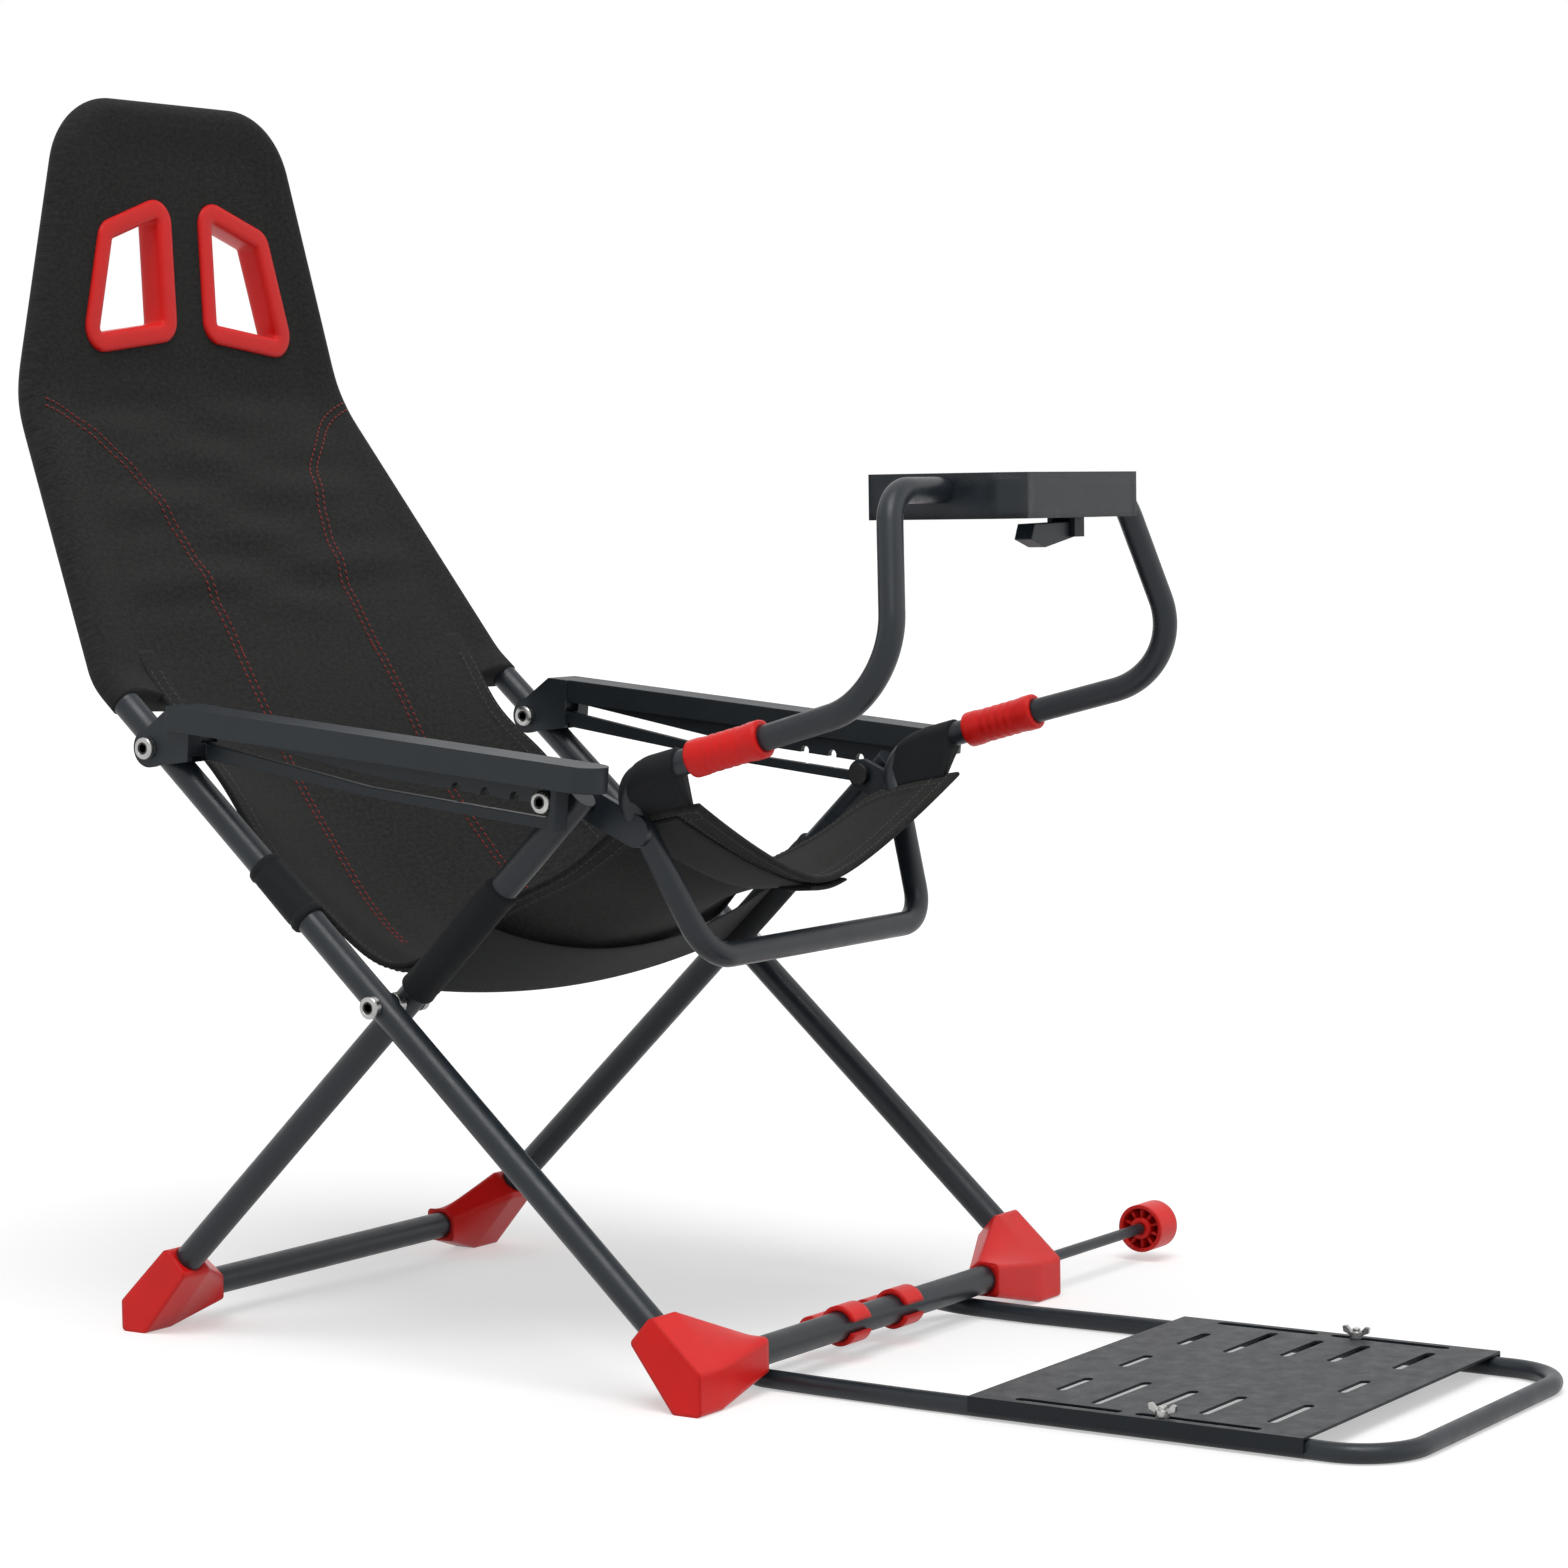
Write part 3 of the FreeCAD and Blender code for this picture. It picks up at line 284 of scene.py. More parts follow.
def build(name, points, faces, finish, body=None, slot=None, uv=None, sharp=None):
    """Mesh object from arrays: unused points go, doubles are merged, and faces are turned outwards by the volume."""
    points, faces = points.reshape(-1, 3), np.asarray(faces)
    used, faces = np.unique(faces, return_inverse=True)
    faces = faces.reshape(-1, 4)
    points = points[used]
    a, b, c, d = (points[faces[:, k]] for k in range(4))
    volume = (a * np.cross(b, c)).sum() + (a * np.cross(c, d)).sum()
    if volume < 0:
        faces = faces[:, ::-1]
    mesh = bpy.data.meshes.new(name)
    mesh.from_pydata(points.tolist(), [], faces.tolist())
    if uv is not None:
        layer = mesh.uv_layers.new(name="flat")
        layer.data.foreach_set("uv", uv.reshape(-1, 2)[used][faces.ravel()].astype(np.float32).ravel())
    mesh.polygons.foreach_set("use_smooth", np.ones(len(faces), bool))
    work = bmesh.new()
    work.from_mesh(mesh)
    bmesh.ops.remove_doubles(work, verts=work.verts, dist=2e-6)
    bmesh.ops.dissolve_degenerate(work, edges=work.edges, dist=1e-7)
    work.to_mesh(mesh)
    work.free()
    if sharp is not None:
        mesh.set_sharp_from_angle(angle=sharp)
    mesh.materials.append(material(finish))
    piece = bpy.data.objects.new(name, mesh)
    bpy.context.scene.collection.objects.link(piece)
    if body:
        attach(piece, body)
    return piece


# Material tools


class Signal:
    """A socket that takes part in Python arithmetic: each operation adds a Math node."""

    def __init__(self, finish, socket):
        self.finish = finish
        self.socket = socket

    def maths(self, operation, first, second):
        return self.finish.add("ShaderNodeMath", {"operation": operation}, {0: first, 1: second})

    def __add__(self, other):
        return self.maths("ADD", self, other)

    def __mul__(self, other):
        return self.maths("MULTIPLY", self, other)

    def __sub__(self, other):
        return self.maths("SUBTRACT", self, other)

    def __rsub__(self, other):
        return self.maths("SUBTRACT", other, self)

    __radd__ = __add__
    __rmul__ = __mul__


class Finish:
    """A material with one main shader; add puts in any other node."""

    def __init__(self, name, store=None, shader="Principled BSDF", **constants):
        self.material = (bpy.data.materials if store is None else store).new(name)
        self.material.use_nodes = True
        self.tree = self.material.node_tree
        self.shader = self.tree.nodes[shader]
        self.feed(**constants)

    def put(self, socket, value):
        if isinstance(value, Signal):
            self.tree.links.new(value.socket, socket)
        elif socket.type == "RGBA" and len(value) == 3:
            socket.default_value = (*value, 1)
        else:
            socket.default_value = value

    def add(self, kind, options=None, sockets=None, output=0):
        """A node of any type: its options are set first, then the values or links of its sockets."""
        node = self.tree.nodes.new(kind)
        for key, value in (options or {}).items():
            setattr(node, key, value)
        for key, value in (sockets or {}).items():
            self.put(node.inputs[key], value)
        return Signal(self, node.outputs[output])

    def feed(self, **values):
        """Values or signals for the main shader; a word's underscore is a space in the socket's name."""
        for key, value in values.items():
            self.put(self.shader.inputs[key.replace("_", " ")], value)

    def places(self, kind="Object"):
        return self.add("ShaderNodeTexCoord", None, None, kind)

    def noise(self, scale, detail=3, rough=0.55, vector=None):
        sockets = {"Vector": vector or self.places(), "Scale": scale, "Detail": detail, "Roughness": rough}
        return self.add("ShaderNodeTexNoise", None, sockets)

    def level(self, signal, low, high, out_low=0.0, out_high=1.0):
        """Signal stretched from low..high to out_low..out_high, held at both ends."""
        return self.add("ShaderNodeMapRange", None, {0: signal, 1: low, 2: high, 3: out_low, 4: out_high})

    def mix(self, share, first, second):
        return self.add("ShaderNodeMix", {"data_type": "RGBA"}, {0: share, 6: first, 7: second}, 2)

    def bump(self, height, distance, strength=1.0, normal=None):
        sockets = {"Height": height, "Distance": distance, "Strength": strength}
        if normal:
            sockets["Normal"] = normal
        return self.add("ShaderNodeBump", None, sockets)

    def seen(self):
        """1 for rays from the camera, and for those that glossy or clear surfaces send on, else 0."""
        names = ("Is Camera Ray", "Is Glossy Ray", "Is Transmission Ray")
        rays = [self.add("ShaderNodeLightPath", None, None, name) for name in names]
        return rays[0].maths("MAXIMUM", rays[0].maths("MAXIMUM", rays[0], rays[1]), rays[2])

    def soft_edges(self, radius):
        """Normals rounded off at edges."""
        return self.add("ShaderNodeBevel", {"samples": 6}, {"Radius": radius})


def tint(colour, share):
    """A colour made lighter or darker by a share."""
    return tuple(min(1.0, c * share) for c in colour)


def settings(group):
    """The sizes and colours of one group: cloth, hard or stage."""
    return getattr(bpy.context.scene, "seat_" + group)


def woven(name, colour, pitch, contrast, rough):
    """Plain weave on the flat cut: height = sin(warp) * sin(weft), with slubs and soft fading over it."""
    cloth = Finish(name, Sheen_Weight=0.05, Sheen_Roughness=0.5, Specular_IOR_Level=0.1)
    cloth.feed(Sheen_Tint=(0.8, 0.8, 0.78))
    flat = cloth.places("UV")
    turn = 2 * math.pi / pitch
    parts = [cloth.add("ShaderNodeSeparateXYZ", None, {0: flat}, axis) for axis in (0, 1)]
    waves = [cloth.add("ShaderNodeMath", {"operation": "SINE"}, {0: part * turn}) for part in parts]
    weave = waves[0] * waves[1] * 0.5 + 0.5
    slub = cloth.add("ShaderNodeVectorMath", {"operation": "MULTIPLY"}, {0: flat, 1: (0.65, 1.0, 1.0)})
    grain = cloth.noise(300, 3, 0.7, slub)
    fleck = cloth.noise(800, 2, 0.7, flat)
    fade = cloth.noise(7, 3, 0.5)
    tone = grain * 0.65 + fleck * 0.25 + weave * 0.1
    shade = cloth.level(tone, 0.38, 0.64)
    base = cloth.mix(shade, tint(colour, 1 - contrast), tint(colour, 1 + contrast))
    worn = cloth.level(fade, 0.35, 0.75, 0.0, 0.35)
    cloth.feed(Base_Color=cloth.mix(worn, base, tint(colour, 1.35)))
    cloth.feed(Roughness=cloth.level(grain, 0.3, 0.7, rough - 0.08, rough + 0.05))
    cloth.feed(Normal=cloth.bump(weave * 0.6 + grain * 0.4, 0.0006, 0.5))
    return cloth


def seat_cloth():
    cloth = settings("cloth")
    return woven("seat_cloth", cloth.cloth_colour, cloth.weave_pitch, contrast=0.5, rough=0.9)


def band_weave():
    """Webbing: a finer weave than the cloth's, darker, more even and a little shinier."""
    cloth = settings("cloth")
    return woven("band_weave", cloth.band_colour, cloth.weave_pitch * 0.8, contrast=0.16, rough=0.72)


def twisted(name, colour, dark, light, **constants):
    """Twisted thread: fine stripes of light and dark, which are shares of its colour."""
    yarn = Finish(name, Specular_IOR_Level=0.2, **constants)
    twist = yarn.noise(1500, 1)
    yarn.feed(Base_Color=yarn.mix(twist, tint(colour, dark), tint(colour, light)))
    yarn.feed(Normal=yarn.bump(twist, 0.0003, 0.4))
    return yarn


def thread():
    return twisted("thread", settings("cloth").thread_colour, 0.55, 1.5, Roughness=0.7, Sheen_Weight=0.2)


def hem_thread():
    """Grey thread of the hems."""
    return twisted("hem_thread", settings("cloth").cloth_colour, 2.6, 5.2, Roughness=0.75)


def coated(name, colour, rough, edge, shine):
    """Powder coat: fine orange peel, soft cloudiness, and a little dust in the roughness."""
    coat = Finish(name, Specular_IOR_Level=shine)
    peel = coat.noise(900, 2, 0.6)
    cloud = coat.noise(14, 3, 0.55)
    scuff = coat.noise(60, 5, 0.7)
    shade = coat.level(cloud * 0.7 + scuff * 0.3, 0.35, 0.65)
    coat.feed(Base_Color=coat.mix(shade, tint(colour, 0.84), tint(colour, 1.2)))
    coat.feed(Roughness=coat.level(scuff, 0.3, 0.75, rough - 0.06, rough + 0.1))
    coat.feed(Normal=coat.bump(peel, 0.00025, 0.35, coat.soft_edges(edge)))
    return coat


def tube_coat():
    return coated("tube_coat", settings("hard").coat_colour, rough=0.36, edge=0.0006, shine=0.36)


def plate_coat():
    return coated("plate_coat", tint(settings("hard").coat_colour, 0.7), rough=0.42, edge=0.0009, shine=0.2)


def deck_sheet():
    """Coated sheet of the wheel deck, bent round softly at its folds."""
    return coated("deck_sheet", settings("hard").coat_colour, rough=0.3, edge=0.012, shine=0.3)


def moulded(name, colour, rough, edge, spread, shine):
    """Moulded plastic: fine spark-eroded grain, slight flow marks, and rounded edges."""
    skin = Finish(name, Specular_IOR_Level=shine)
    grain = skin.noise(1300, 2, 0.6)
    flow = skin.noise(18, 4, 0.6)
    shade = skin.level(flow, 0.3, 0.7)
    skin.feed(Base_Color=skin.mix(shade, tint(colour, 1 - spread), tint(colour, 1 + spread)))
    skin.feed(Roughness=skin.level(flow * 0.6 + grain * 0.4, 0.3, 0.7, rough - 0.05, rough + 0.08))
    skin.feed(Normal=skin.bump(grain, 0.0003, 0.3, skin.soft_edges(edge)))
    return skin


def arm_shell():
    return moulded("arm_shell", settings("hard").arm_colour, rough=0.44, edge=0.0016, spread=0.12, shine=0.3)


def red_shell():
    return moulded("red_shell", settings("hard").red_colour, rough=0.34, edge=0.005, spread=0.07, shine=0.24)


def plated(name, colour, rough):
    """Zinc plate: fine brushing and cloudy tarnish."""
    metal = Finish(name, Metallic=1.0)
    brush = metal.noise(700, 3, 0.6)
    cloud = metal.noise(90, 3, 0.6)
    metal.feed(Base_Color=metal.mix(metal.level(cloud, 0.3, 0.7), tint(colour, 0.78), tint(colour, 1.12)))
    metal.feed(Roughness=metal.level(brush, 0.3, 0.7, rough - 0.08, rough + 0.1))
    metal.feed(Normal=metal.bump(brush, 0.0001, 0.3, metal.soft_edges(0.0008)))
    return metal


def bright_zinc():
    return plated("bright_zinc", settings("hard").zinc_colour, 0.28)


def dark_steel():
    """Near-black steel that paints shade: inside the sockets of the bolts, and on the deck pins."""
    return plated("dark_steel", tint(settings("hard").zinc_colour, 0.12), 0.5)


FINISHES = (
    seat_cloth, band_weave, thread, hem_thread, tube_coat, plate_coat, deck_sheet, arm_shell, red_shell, bright_zinc,
    dark_steel,
)


def material(name):
    found = bpy.data.materials.get(name)
    if found is None:
        found = {make.__name__: make for make in FINISHES}[name]().material
    return found


SLOT_FINISH = {
    "frame_coat": "tube_coat",
    "deck_coat": "tube_coat",
    "pedal_coat": "tube_coat",
    "rod_coat": "tube_coat",
    "sheet_coat": "plate_coat",
    "red_plastic": "red_shell",
    "arm_plastic": "arm_shell",
    "zinc": "bright_zinc",
    "seat_fabric": "seat_cloth",
    "webbing": "band_weave",
}
# The deck pins take the near-black steel: painted shade, so that their ends show dark under the loops and armrests.
NODE_FINISH = {"deck_plate": "deck_sheet", "deck_pins": "dark_steel"}


class SEAT_OT_finishes(bpy.types.Operator):
    """Give every part of the frame the finish of its material slot"""

    bl_idname = "seat.finishes"
    bl_label = "Finishes"

    def execute(self, context):
        for part in frame["record"]["subparts"]:
            mesh = NODES[part["node"]].data
            mesh.materials.clear()
            finish = NODE_FINISH.get(part["node"], SLOT_FINISH[part["material_slot"]])
            mesh.materials.append(material(finish))
        return {"FINISHED"}


# Back cover

BACK_R = 0.0125
FOOT_HALF = 0.2525
SHOULDER_HALF = 0.196
TOP_HALF = 0.126
TOP_ROUND = 0.070
LOW_RUN = float(np.linalg.norm(SHOULDER - BACK_FOOT))
BACK_RUN = LOW_RUN + float(np.linalg.norm(BACK_TOP - SHOULDER))
LOW_LEAN = math.atan2(BACK_DIR[1], BACK_DIR[2])
HEAD_LEAN = math.atan2(HEAD_DIR[1], HEAD_DIR[2])
LEG_LEAN = math.atan2(FRONT_DIR[1], FRONT_DIR[2])
SIDE_SLOPE = (SHOULDER_HALF - TOP_HALF) / (BACK_RUN - LOW_RUN)
CORNER_X = TOP_HALF + SIDE_SLOPE * TOP_ROUND - math.hypot(1, SIDE_SLOPE) * TOP_ROUND
CORNER_TOP = BACK_RUN - TOP_ROUND
CORNER_START = CORNER_TOP + TOP_ROUND * SIDE_SLOPE / math.hypot(1, SIDE_SLOPE)
SIDE_COSINE = 0.97
# Corners of a head opening: distance from the middle, and height over the shoulder
RING_OUTLINE = np.array([[0.020, 0.169], [0.100, 0.141], [0.129, 0.038], [0.020, 0.052]])
RING_HOLD = 0.0055  # width of the cover's edge that a head ring hides


def back_line(s, x):
    """Centre line of the back, and its front normal: the lean turns smoothly at the shoulder and is summed up. Beside
    the legs it also follows the tube's bend at the foot, and between them it runs straight on to the seat."""
    fine = np.linspace(0, BACK_RUN, 800)
    step = fine[1] - fine[0]
    lean = LOW_LEAN + (HEAD_LEAN - LOW_LEAN) * smooth(LOW_RUN - 0.035, LOW_RUN + 0.035, fine)
    leg = (LEG_LEAN - LOW_LEAN) * smooth(0.040, 0.012, fine)
    share = smooth(0.165, 0.228, np.abs(x))
    values = []
    for bent, foot in ((0.0, BACK_FOOT), (1.0, COVER_FOOT)):
        turn = lean + bent * leg
        y = foot[1] + np.concatenate([[0], np.cumsum(np.sin(turn[1:]) * step)])
        z = foot[2] + np.concatenate([[0], np.cumsum(np.cos(turn[1:]) * step)])
        values.append([np.interp(s, fine, line) for line in (y, z, turn)])
    y, z, at = [a + (b - a) * share for a, b in zip(*values)]
    return np.stack([0 * y, y, z], -1), np.stack([0 * y, -np.cos(at), np.sin(at)], -1)


def back_half(s):
    """Half width of the back: two straight tapers that meet in a soft bend, and a round corner at the top."""
    fine = np.linspace(-0.03, BACK_RUN + 0.03, 700)
    knots = [-0.03, 0.03, LOW_RUN, BACK_RUN + 0.03]
    line = np.interp(fine, knots, [FOOT_HALF, FOOT_HALF - 0.001, SHOULDER_HALF, TOP_HALF - SIDE_SLOPE * 0.03])
    kernel = np.hanning(41)
    soft = np.convolve(np.pad(line, 20, mode="reflect", reflect_type="odd"), kernel / kernel.sum(), "valid")
    half = np.interp(s, fine, soft)
    corner = CORNER_X + np.sqrt(np.clip(TOP_ROUND**2 - (s - CORNER_TOP) ** 2, 0, None))
    return np.where(s > CORNER_START, corner, half)


def back_grid():
    """Rows up the back and columns across it, closer together where the cover turns round the hoop."""
    turn = np.linspace(0, math.pi / 2, 9)
    edge = BACK_R * (1 - np.cos(turn))
    rows = [np.linspace(0, CORNER_START - 0.002, 120), np.linspace(CORNER_START, BACK_RUN - BACK_R - 0.001, 22)]
    rows = np.concatenate(rows + [BACK_RUN - edge[::-1]])
    half = back_half(rows)[:, None]
    inner = np.linspace(-1, 1, 119)[None, 1:-1] * (half - BACK_R)
    across = np.concatenate([edge - half, inner, (half - edge)[:, ::-1]], 1)
    return np.broadcast_to(rows[:, None], across.shape), across


def edge_distance(s, x):
    """Distance from a point of the back to its outline: to the side, to the top, or to the round top corner."""
    side = (back_half(s) - np.abs(x)) * SIDE_COSINE
    beyond = np.stack([np.abs(x) - CORNER_X, s - CORNER_TOP], -1)
    corner = TOP_ROUND - np.linalg.norm(np.clip(beyond, 0, None), axis=-1)
    turned = (beyond[..., 0] > 0) & (beyond[..., 1] > SIDE_SLOPE * beyond[..., 0])
    return np.where(turned, corner, np.minimum(side, BACK_RUN - s))


def back_swell(s, x):
    """Height of the front over the centre line: round at the hoop, then a shallow dip with soft cross folds."""
    d = np.clip(edge_distance(s, x), 0, None)
    tube = BACK_R * rolled(d, BACK_R)
    dip = 0.0032 * smooth(0.014, 0.05, d)
    low = smooth(0.0, 0.02, d) * smooth(LOW_RUN + 0.05, LOW_RUN - 0.05, s)
    folds = 0.0016 * np.sin(s * 96 + 7 * x + 2 * np.sin(x * 15)) + 0.0009 * np.sin(s * 171 - 12 * x + 1.3)
    return tube - dip + low * folds * smooth(0.02, 0.09, d) * smooth(0.045, 0.10, s)


def in_ring(s, x, inset):
    """True inside a head opening: the point lies more than the inset within each side of its outline."""
    up = s - LOW_RUN
    inside = np.ones(np.shape(s), bool)
    for a, b in zip(RING_OUTLINE, np.roll(RING_OUTLINE, -1, axis=0)):
        way = unit(b - a)
        inside &= (up - a[1]) * way[0] - (np.abs(x) - a[0]) * way[1] < -inset
    return inside


def back_point(s, x, lift=0.0):
    """Point on the back's front face, and the normal of its centre line."""
    centre, normal = back_line(s, x)
    return centre + along_x(x) + normal * (back_swell(s, x) + lift)[..., None], normal


class SEAT_OT_back_cover(bpy.types.Operator):
    """Sewn cover over the back's hoop, closed behind, with two openings for the head rings"""

    bl_idname = "seat.back_cover"
    bl_label = "Back cover"

    def execute(self, context):
        s, x = back_grid()
        front, normal = back_point(s, x)
        d = np.clip(edge_distance(s, x), 0, None)
        depth = BACK_R * rolled(d, BACK_R) - 0.002 * smooth(0.014, 0.06, d)
        rear = back_line(s, x)[0] + along_x(x) - normal * depth[..., None]
        middle_s, middle_x = ((grid[1:, 1:] + grid[:-1, :-1]) / 2 for grid in (s, x))
        points, faces = shell(front, rear, ~in_ring(middle_s, middle_x, RING_HOLD))
        flat = np.stack([x, s], -1).reshape(-1, 2)
        uv = np.concatenate([flat, flat])
        cover = build("back_cover", points, faces, "seat_cloth", "back_frame", "seat_fabric", uv)
        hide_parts("seat_back")
        return {"FINISHED"}


# Seat panel

PANEL_RUN = 0.655
PANEL_ANCHORS = (BACK_FOOT,) * 5 + (CROSS,) * 2 + (DECK_PIVOT,) * 3
PANEL_STATIONS = np.array(
    [
        # half width, edge y and z, middle y and z, how sharply the middle hangs
        [0.204, 0.0157, 0.0429, 0.0157, 0.0429, 2.0],
        [0.205, 0.0014, 0.0226, 0.0024, 0.0217, 2.0],
        [0.200, -0.0235, -0.0095, -0.0172, -0.0132, 2.0],
        [0.205, -0.066, -0.054, -0.051, -0.073, 2.0],
        [0.212, -0.150, -0.133, -0.132, -0.172, 2.0],
        [0.206, 0.022, 0.027, 0.033, 0.001, 1.9],
        [0.180, -0.054, 0.066, -0.067, 0.036, 1.7],
        [0.172, 0.024, -0.041, 0.014, -0.083, 1.5],
        [0.177, -0.031, -0.011, -0.038, -0.070, 1.35],
        [0.181, -0.093, 0.003, -0.085, -0.066, 1.25],
    ]
)


def panel_point(u, v):
    """Centre surface of the seat panel: across it the line from middle to edge rises as a power of |u|, and the
    middle and the edges run along smooth lines through the stations."""
    anchors = np.stack(PANEL_ANCHORS)[:, 1:]
    edge, middle = anchors + PANEL_STATIONS[:, 1:3], anchors + PANEL_STATIONS[:, 3:5]
    rows = np.concatenate([PANEL_STATIONS[:, :1], edge, middle, PANEL_STATIONS[:, 5:]], 1)
    place = run(middle)
    at = spline(place / place[-1], rows, np.ravel(v)).reshape(*np.shape(v), 6)
    half, sharp = at[..., 0], np.clip(at[..., 5], 1.1, 2.2)
    rise = (np.sqrt(u * u + 0.006) - math.sqrt(0.006)) / (math.sqrt(1.006) - math.sqrt(0.006))
    rise = np.clip(rise, 0, None) ** sharp
    y = at[..., 3] + (at[..., 1] - at[..., 3]) * rise
    z = at[..., 4] + (at[..., 2] - at[..., 4]) * rise
    return np.stack([u * half, y, z], -1)


def panel_folds(u, v):
    """Soft creases: a few long waves that run out from the legs' cuffs and over the deep of the seat."""
    near = smooth(0.06, 0.2, v) * smooth(1.0, 0.86, v)
    long_fold = np.sin(26 * v + 2.2 * u * u) * 0.0016 * (0.35 + np.abs(u))
    cross_fold = np.sin(15 * np.abs(u) + 9 * v) * 0.0012 * smooth(0.25, 0.5, v) * smooth(0.8, 0.55, v)
    return near * (long_fold + cross_fold)


def panel_frame(u, v):
    """Point of the panel with its upward normal, by small steps in both directions."""
    small = 1e-3
    u, v = np.broadcast_arrays(u, v)
    middle = panel_point(u, v)
    side = panel_point(np.clip(u + small, -1, 1), v) - panel_point(np.clip(u - small, -1, 1), v)
    ahead = panel_point(u, np.clip(v + small, 0, 1)) - panel_point(u, np.clip(v - small, 0, 1))
    normal = unit(np.cross(ahead, side))
    return middle + normal * panel_folds(u, v)[..., None], normal


def panel_edge(u, y, low, high):
    """Points of the panel at the share u of its half width and at the places y, which lie between the shares low and
    high of its length."""
    v = np.linspace(low, high, 200)
    line, _ = panel_frame(u, v)
    return panel_frame(u, np.interp(-y, -line[:, 1], v))[0]


def panel_thick(u, v):
    """Half thickness: a turned hem along both sides and the front, rounded off at the very edge."""
    cloth = settings("cloth")
    half = np.interp(v, np.linspace(0, 1, len(PANEL_STATIONS)), PANEL_STATIONS[:, 0])
    inside = np.minimum((1 - np.abs(u)) * half, (1 - v) * PANEL_RUN)
    hem = smooth(cloth.hem_width + 0.0015, cloth.hem_width, inside)
    thick = cloth.sheet_thick / 2 + 0.0010 * hem
    return thick * np.maximum(rolled(inside, 0.0016), 0.1)


class SEAT_OT_seat_panel(bpy.types.Operator):
    """Fabric seat: one sheet from the foot of the back, down through the deep of the seat, to its front edge"""

    bl_idname = "seat.seat_panel"
    bl_label = "Seat panel"

    def execute(self, context):
        edge = np.array([0, 0.0018, 0.006, 0.013])
        u = np.concatenate([-1 + edge, np.linspace(-0.985, 0.985, 121), (1 - edge)[::-1]])
        v = np.concatenate([np.linspace(0, 0.994, 190), [0.9965, 0.9985, 0.9995, 1.0]])
        v, u = np.meshgrid(v, u, indexing="ij")
        middle, normal = panel_frame(u, v)
        half = normal * panel_thick(u, v)[..., None]
        points, faces = shell(middle + half, middle - half)
        flat = np.stack([u * 0.2, v * PANEL_RUN], -1).reshape(-1, 2)
        panel = build("seat_panel", points, faces, "seat_cloth", None, "seat_fabric", np.concatenate([flat, flat]))
        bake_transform(panel)
        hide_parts("seat_sling")
        return {"FINISHED"}


# Webbing

CUFF_R = 0.0134
FRONT_CUFF = 0.060
REAR_CUFF = 0.116
REAR_START = 0.012  # distance of the rear cuffs and their strap from the cross bolts
BAND_WIDTH = 0.076
SEWN_AT = 0.93  # share of the panel's half width where the front cuffs are sewn on
LOOP_AT = 0.965  # and where the loops of the deck tube are


def cuff(start, direction, length, waves):
    """Sleeve round a leg: a tube with soft turned ends and slight puckers round it."""
    lip = np.array([0, 0.0004, 0.0014])
    s = np.concatenate([lip, np.linspace(0.003, length - 0.003, 40), length - lip[::-1]])
    end = np.minimum(s, length - s)
    r = LEG_R + 0.0004 + (CUFF_R - LEG_R) * rolled(end, 0.0014)
    hem = 0.0005 * (np.exp(-(((end - 0.004) / 0.0016) ** 2)) - np.exp(-(((end - 0.0075) / 0.0012) ** 2)))
    turn, ring = circle(56)
    pucker = 0.00035 * np.sin(waves * turn[None] + 40 * s[:, None]) * smooth(0.004, 0.014, end)[:, None]
    around = (r + hem)[:, None] + pucker
    path = start + s[:, None] * direction
    points, faces = sweep(path, ACROSS, np.cross(direction, ACROSS), around[..., None] * ring)
    flat = np.stack(np.broadcast_arrays(turn[None] * CUFF_R, s[:, None]), -1)
    flat = np.concatenate([flat[:1], flat, flat[-1:]])
    return points.reshape(-1, 3), faces, flat.reshape(-1, 2)


def joined(parts):
    """Several meshes as one set of arrays."""
    offsets = np.cumsum([0] + [len(p[0]) for p in parts[:-1]])
    points = np.concatenate([p[0] for p in parts])
    faces = np.concatenate([p[1] + offset for p, offset in zip(parts, offsets)])
    return points, faces, np.concatenate([p[2] for p in parts])


def band(upper_line, width_line, thick, columns=13):
    """Flat strap: a middle line and a half-width vector at each of its points, with a rounded thin edge."""
    w = np.sin(np.linspace(-math.pi / 2, math.pi / 2, columns))
    grid = upper_line[:, None] + w[None, :, None] * width_line[:, None]
    ahead = np.gradient(grid, axis=0)
    normal = unit(np.cross(ahead, np.broadcast_to(width_line[:, None], grid.shape)))
    half = thick / 2 * np.sqrt(np.clip(1 - w**8, 0.02, 1))[None, :, None]
    points, faces = shell(grid + normal * half, grid - normal * half)
    length = run(upper_line)[:, None]
    flat = np.stack(np.broadcast_arrays(w[None] * np.linalg.norm(width_line, axis=1)[:, None], length), -1)
    flat = flat.reshape(-1, 2)
    return points, faces, np.concatenate([flat, flat])


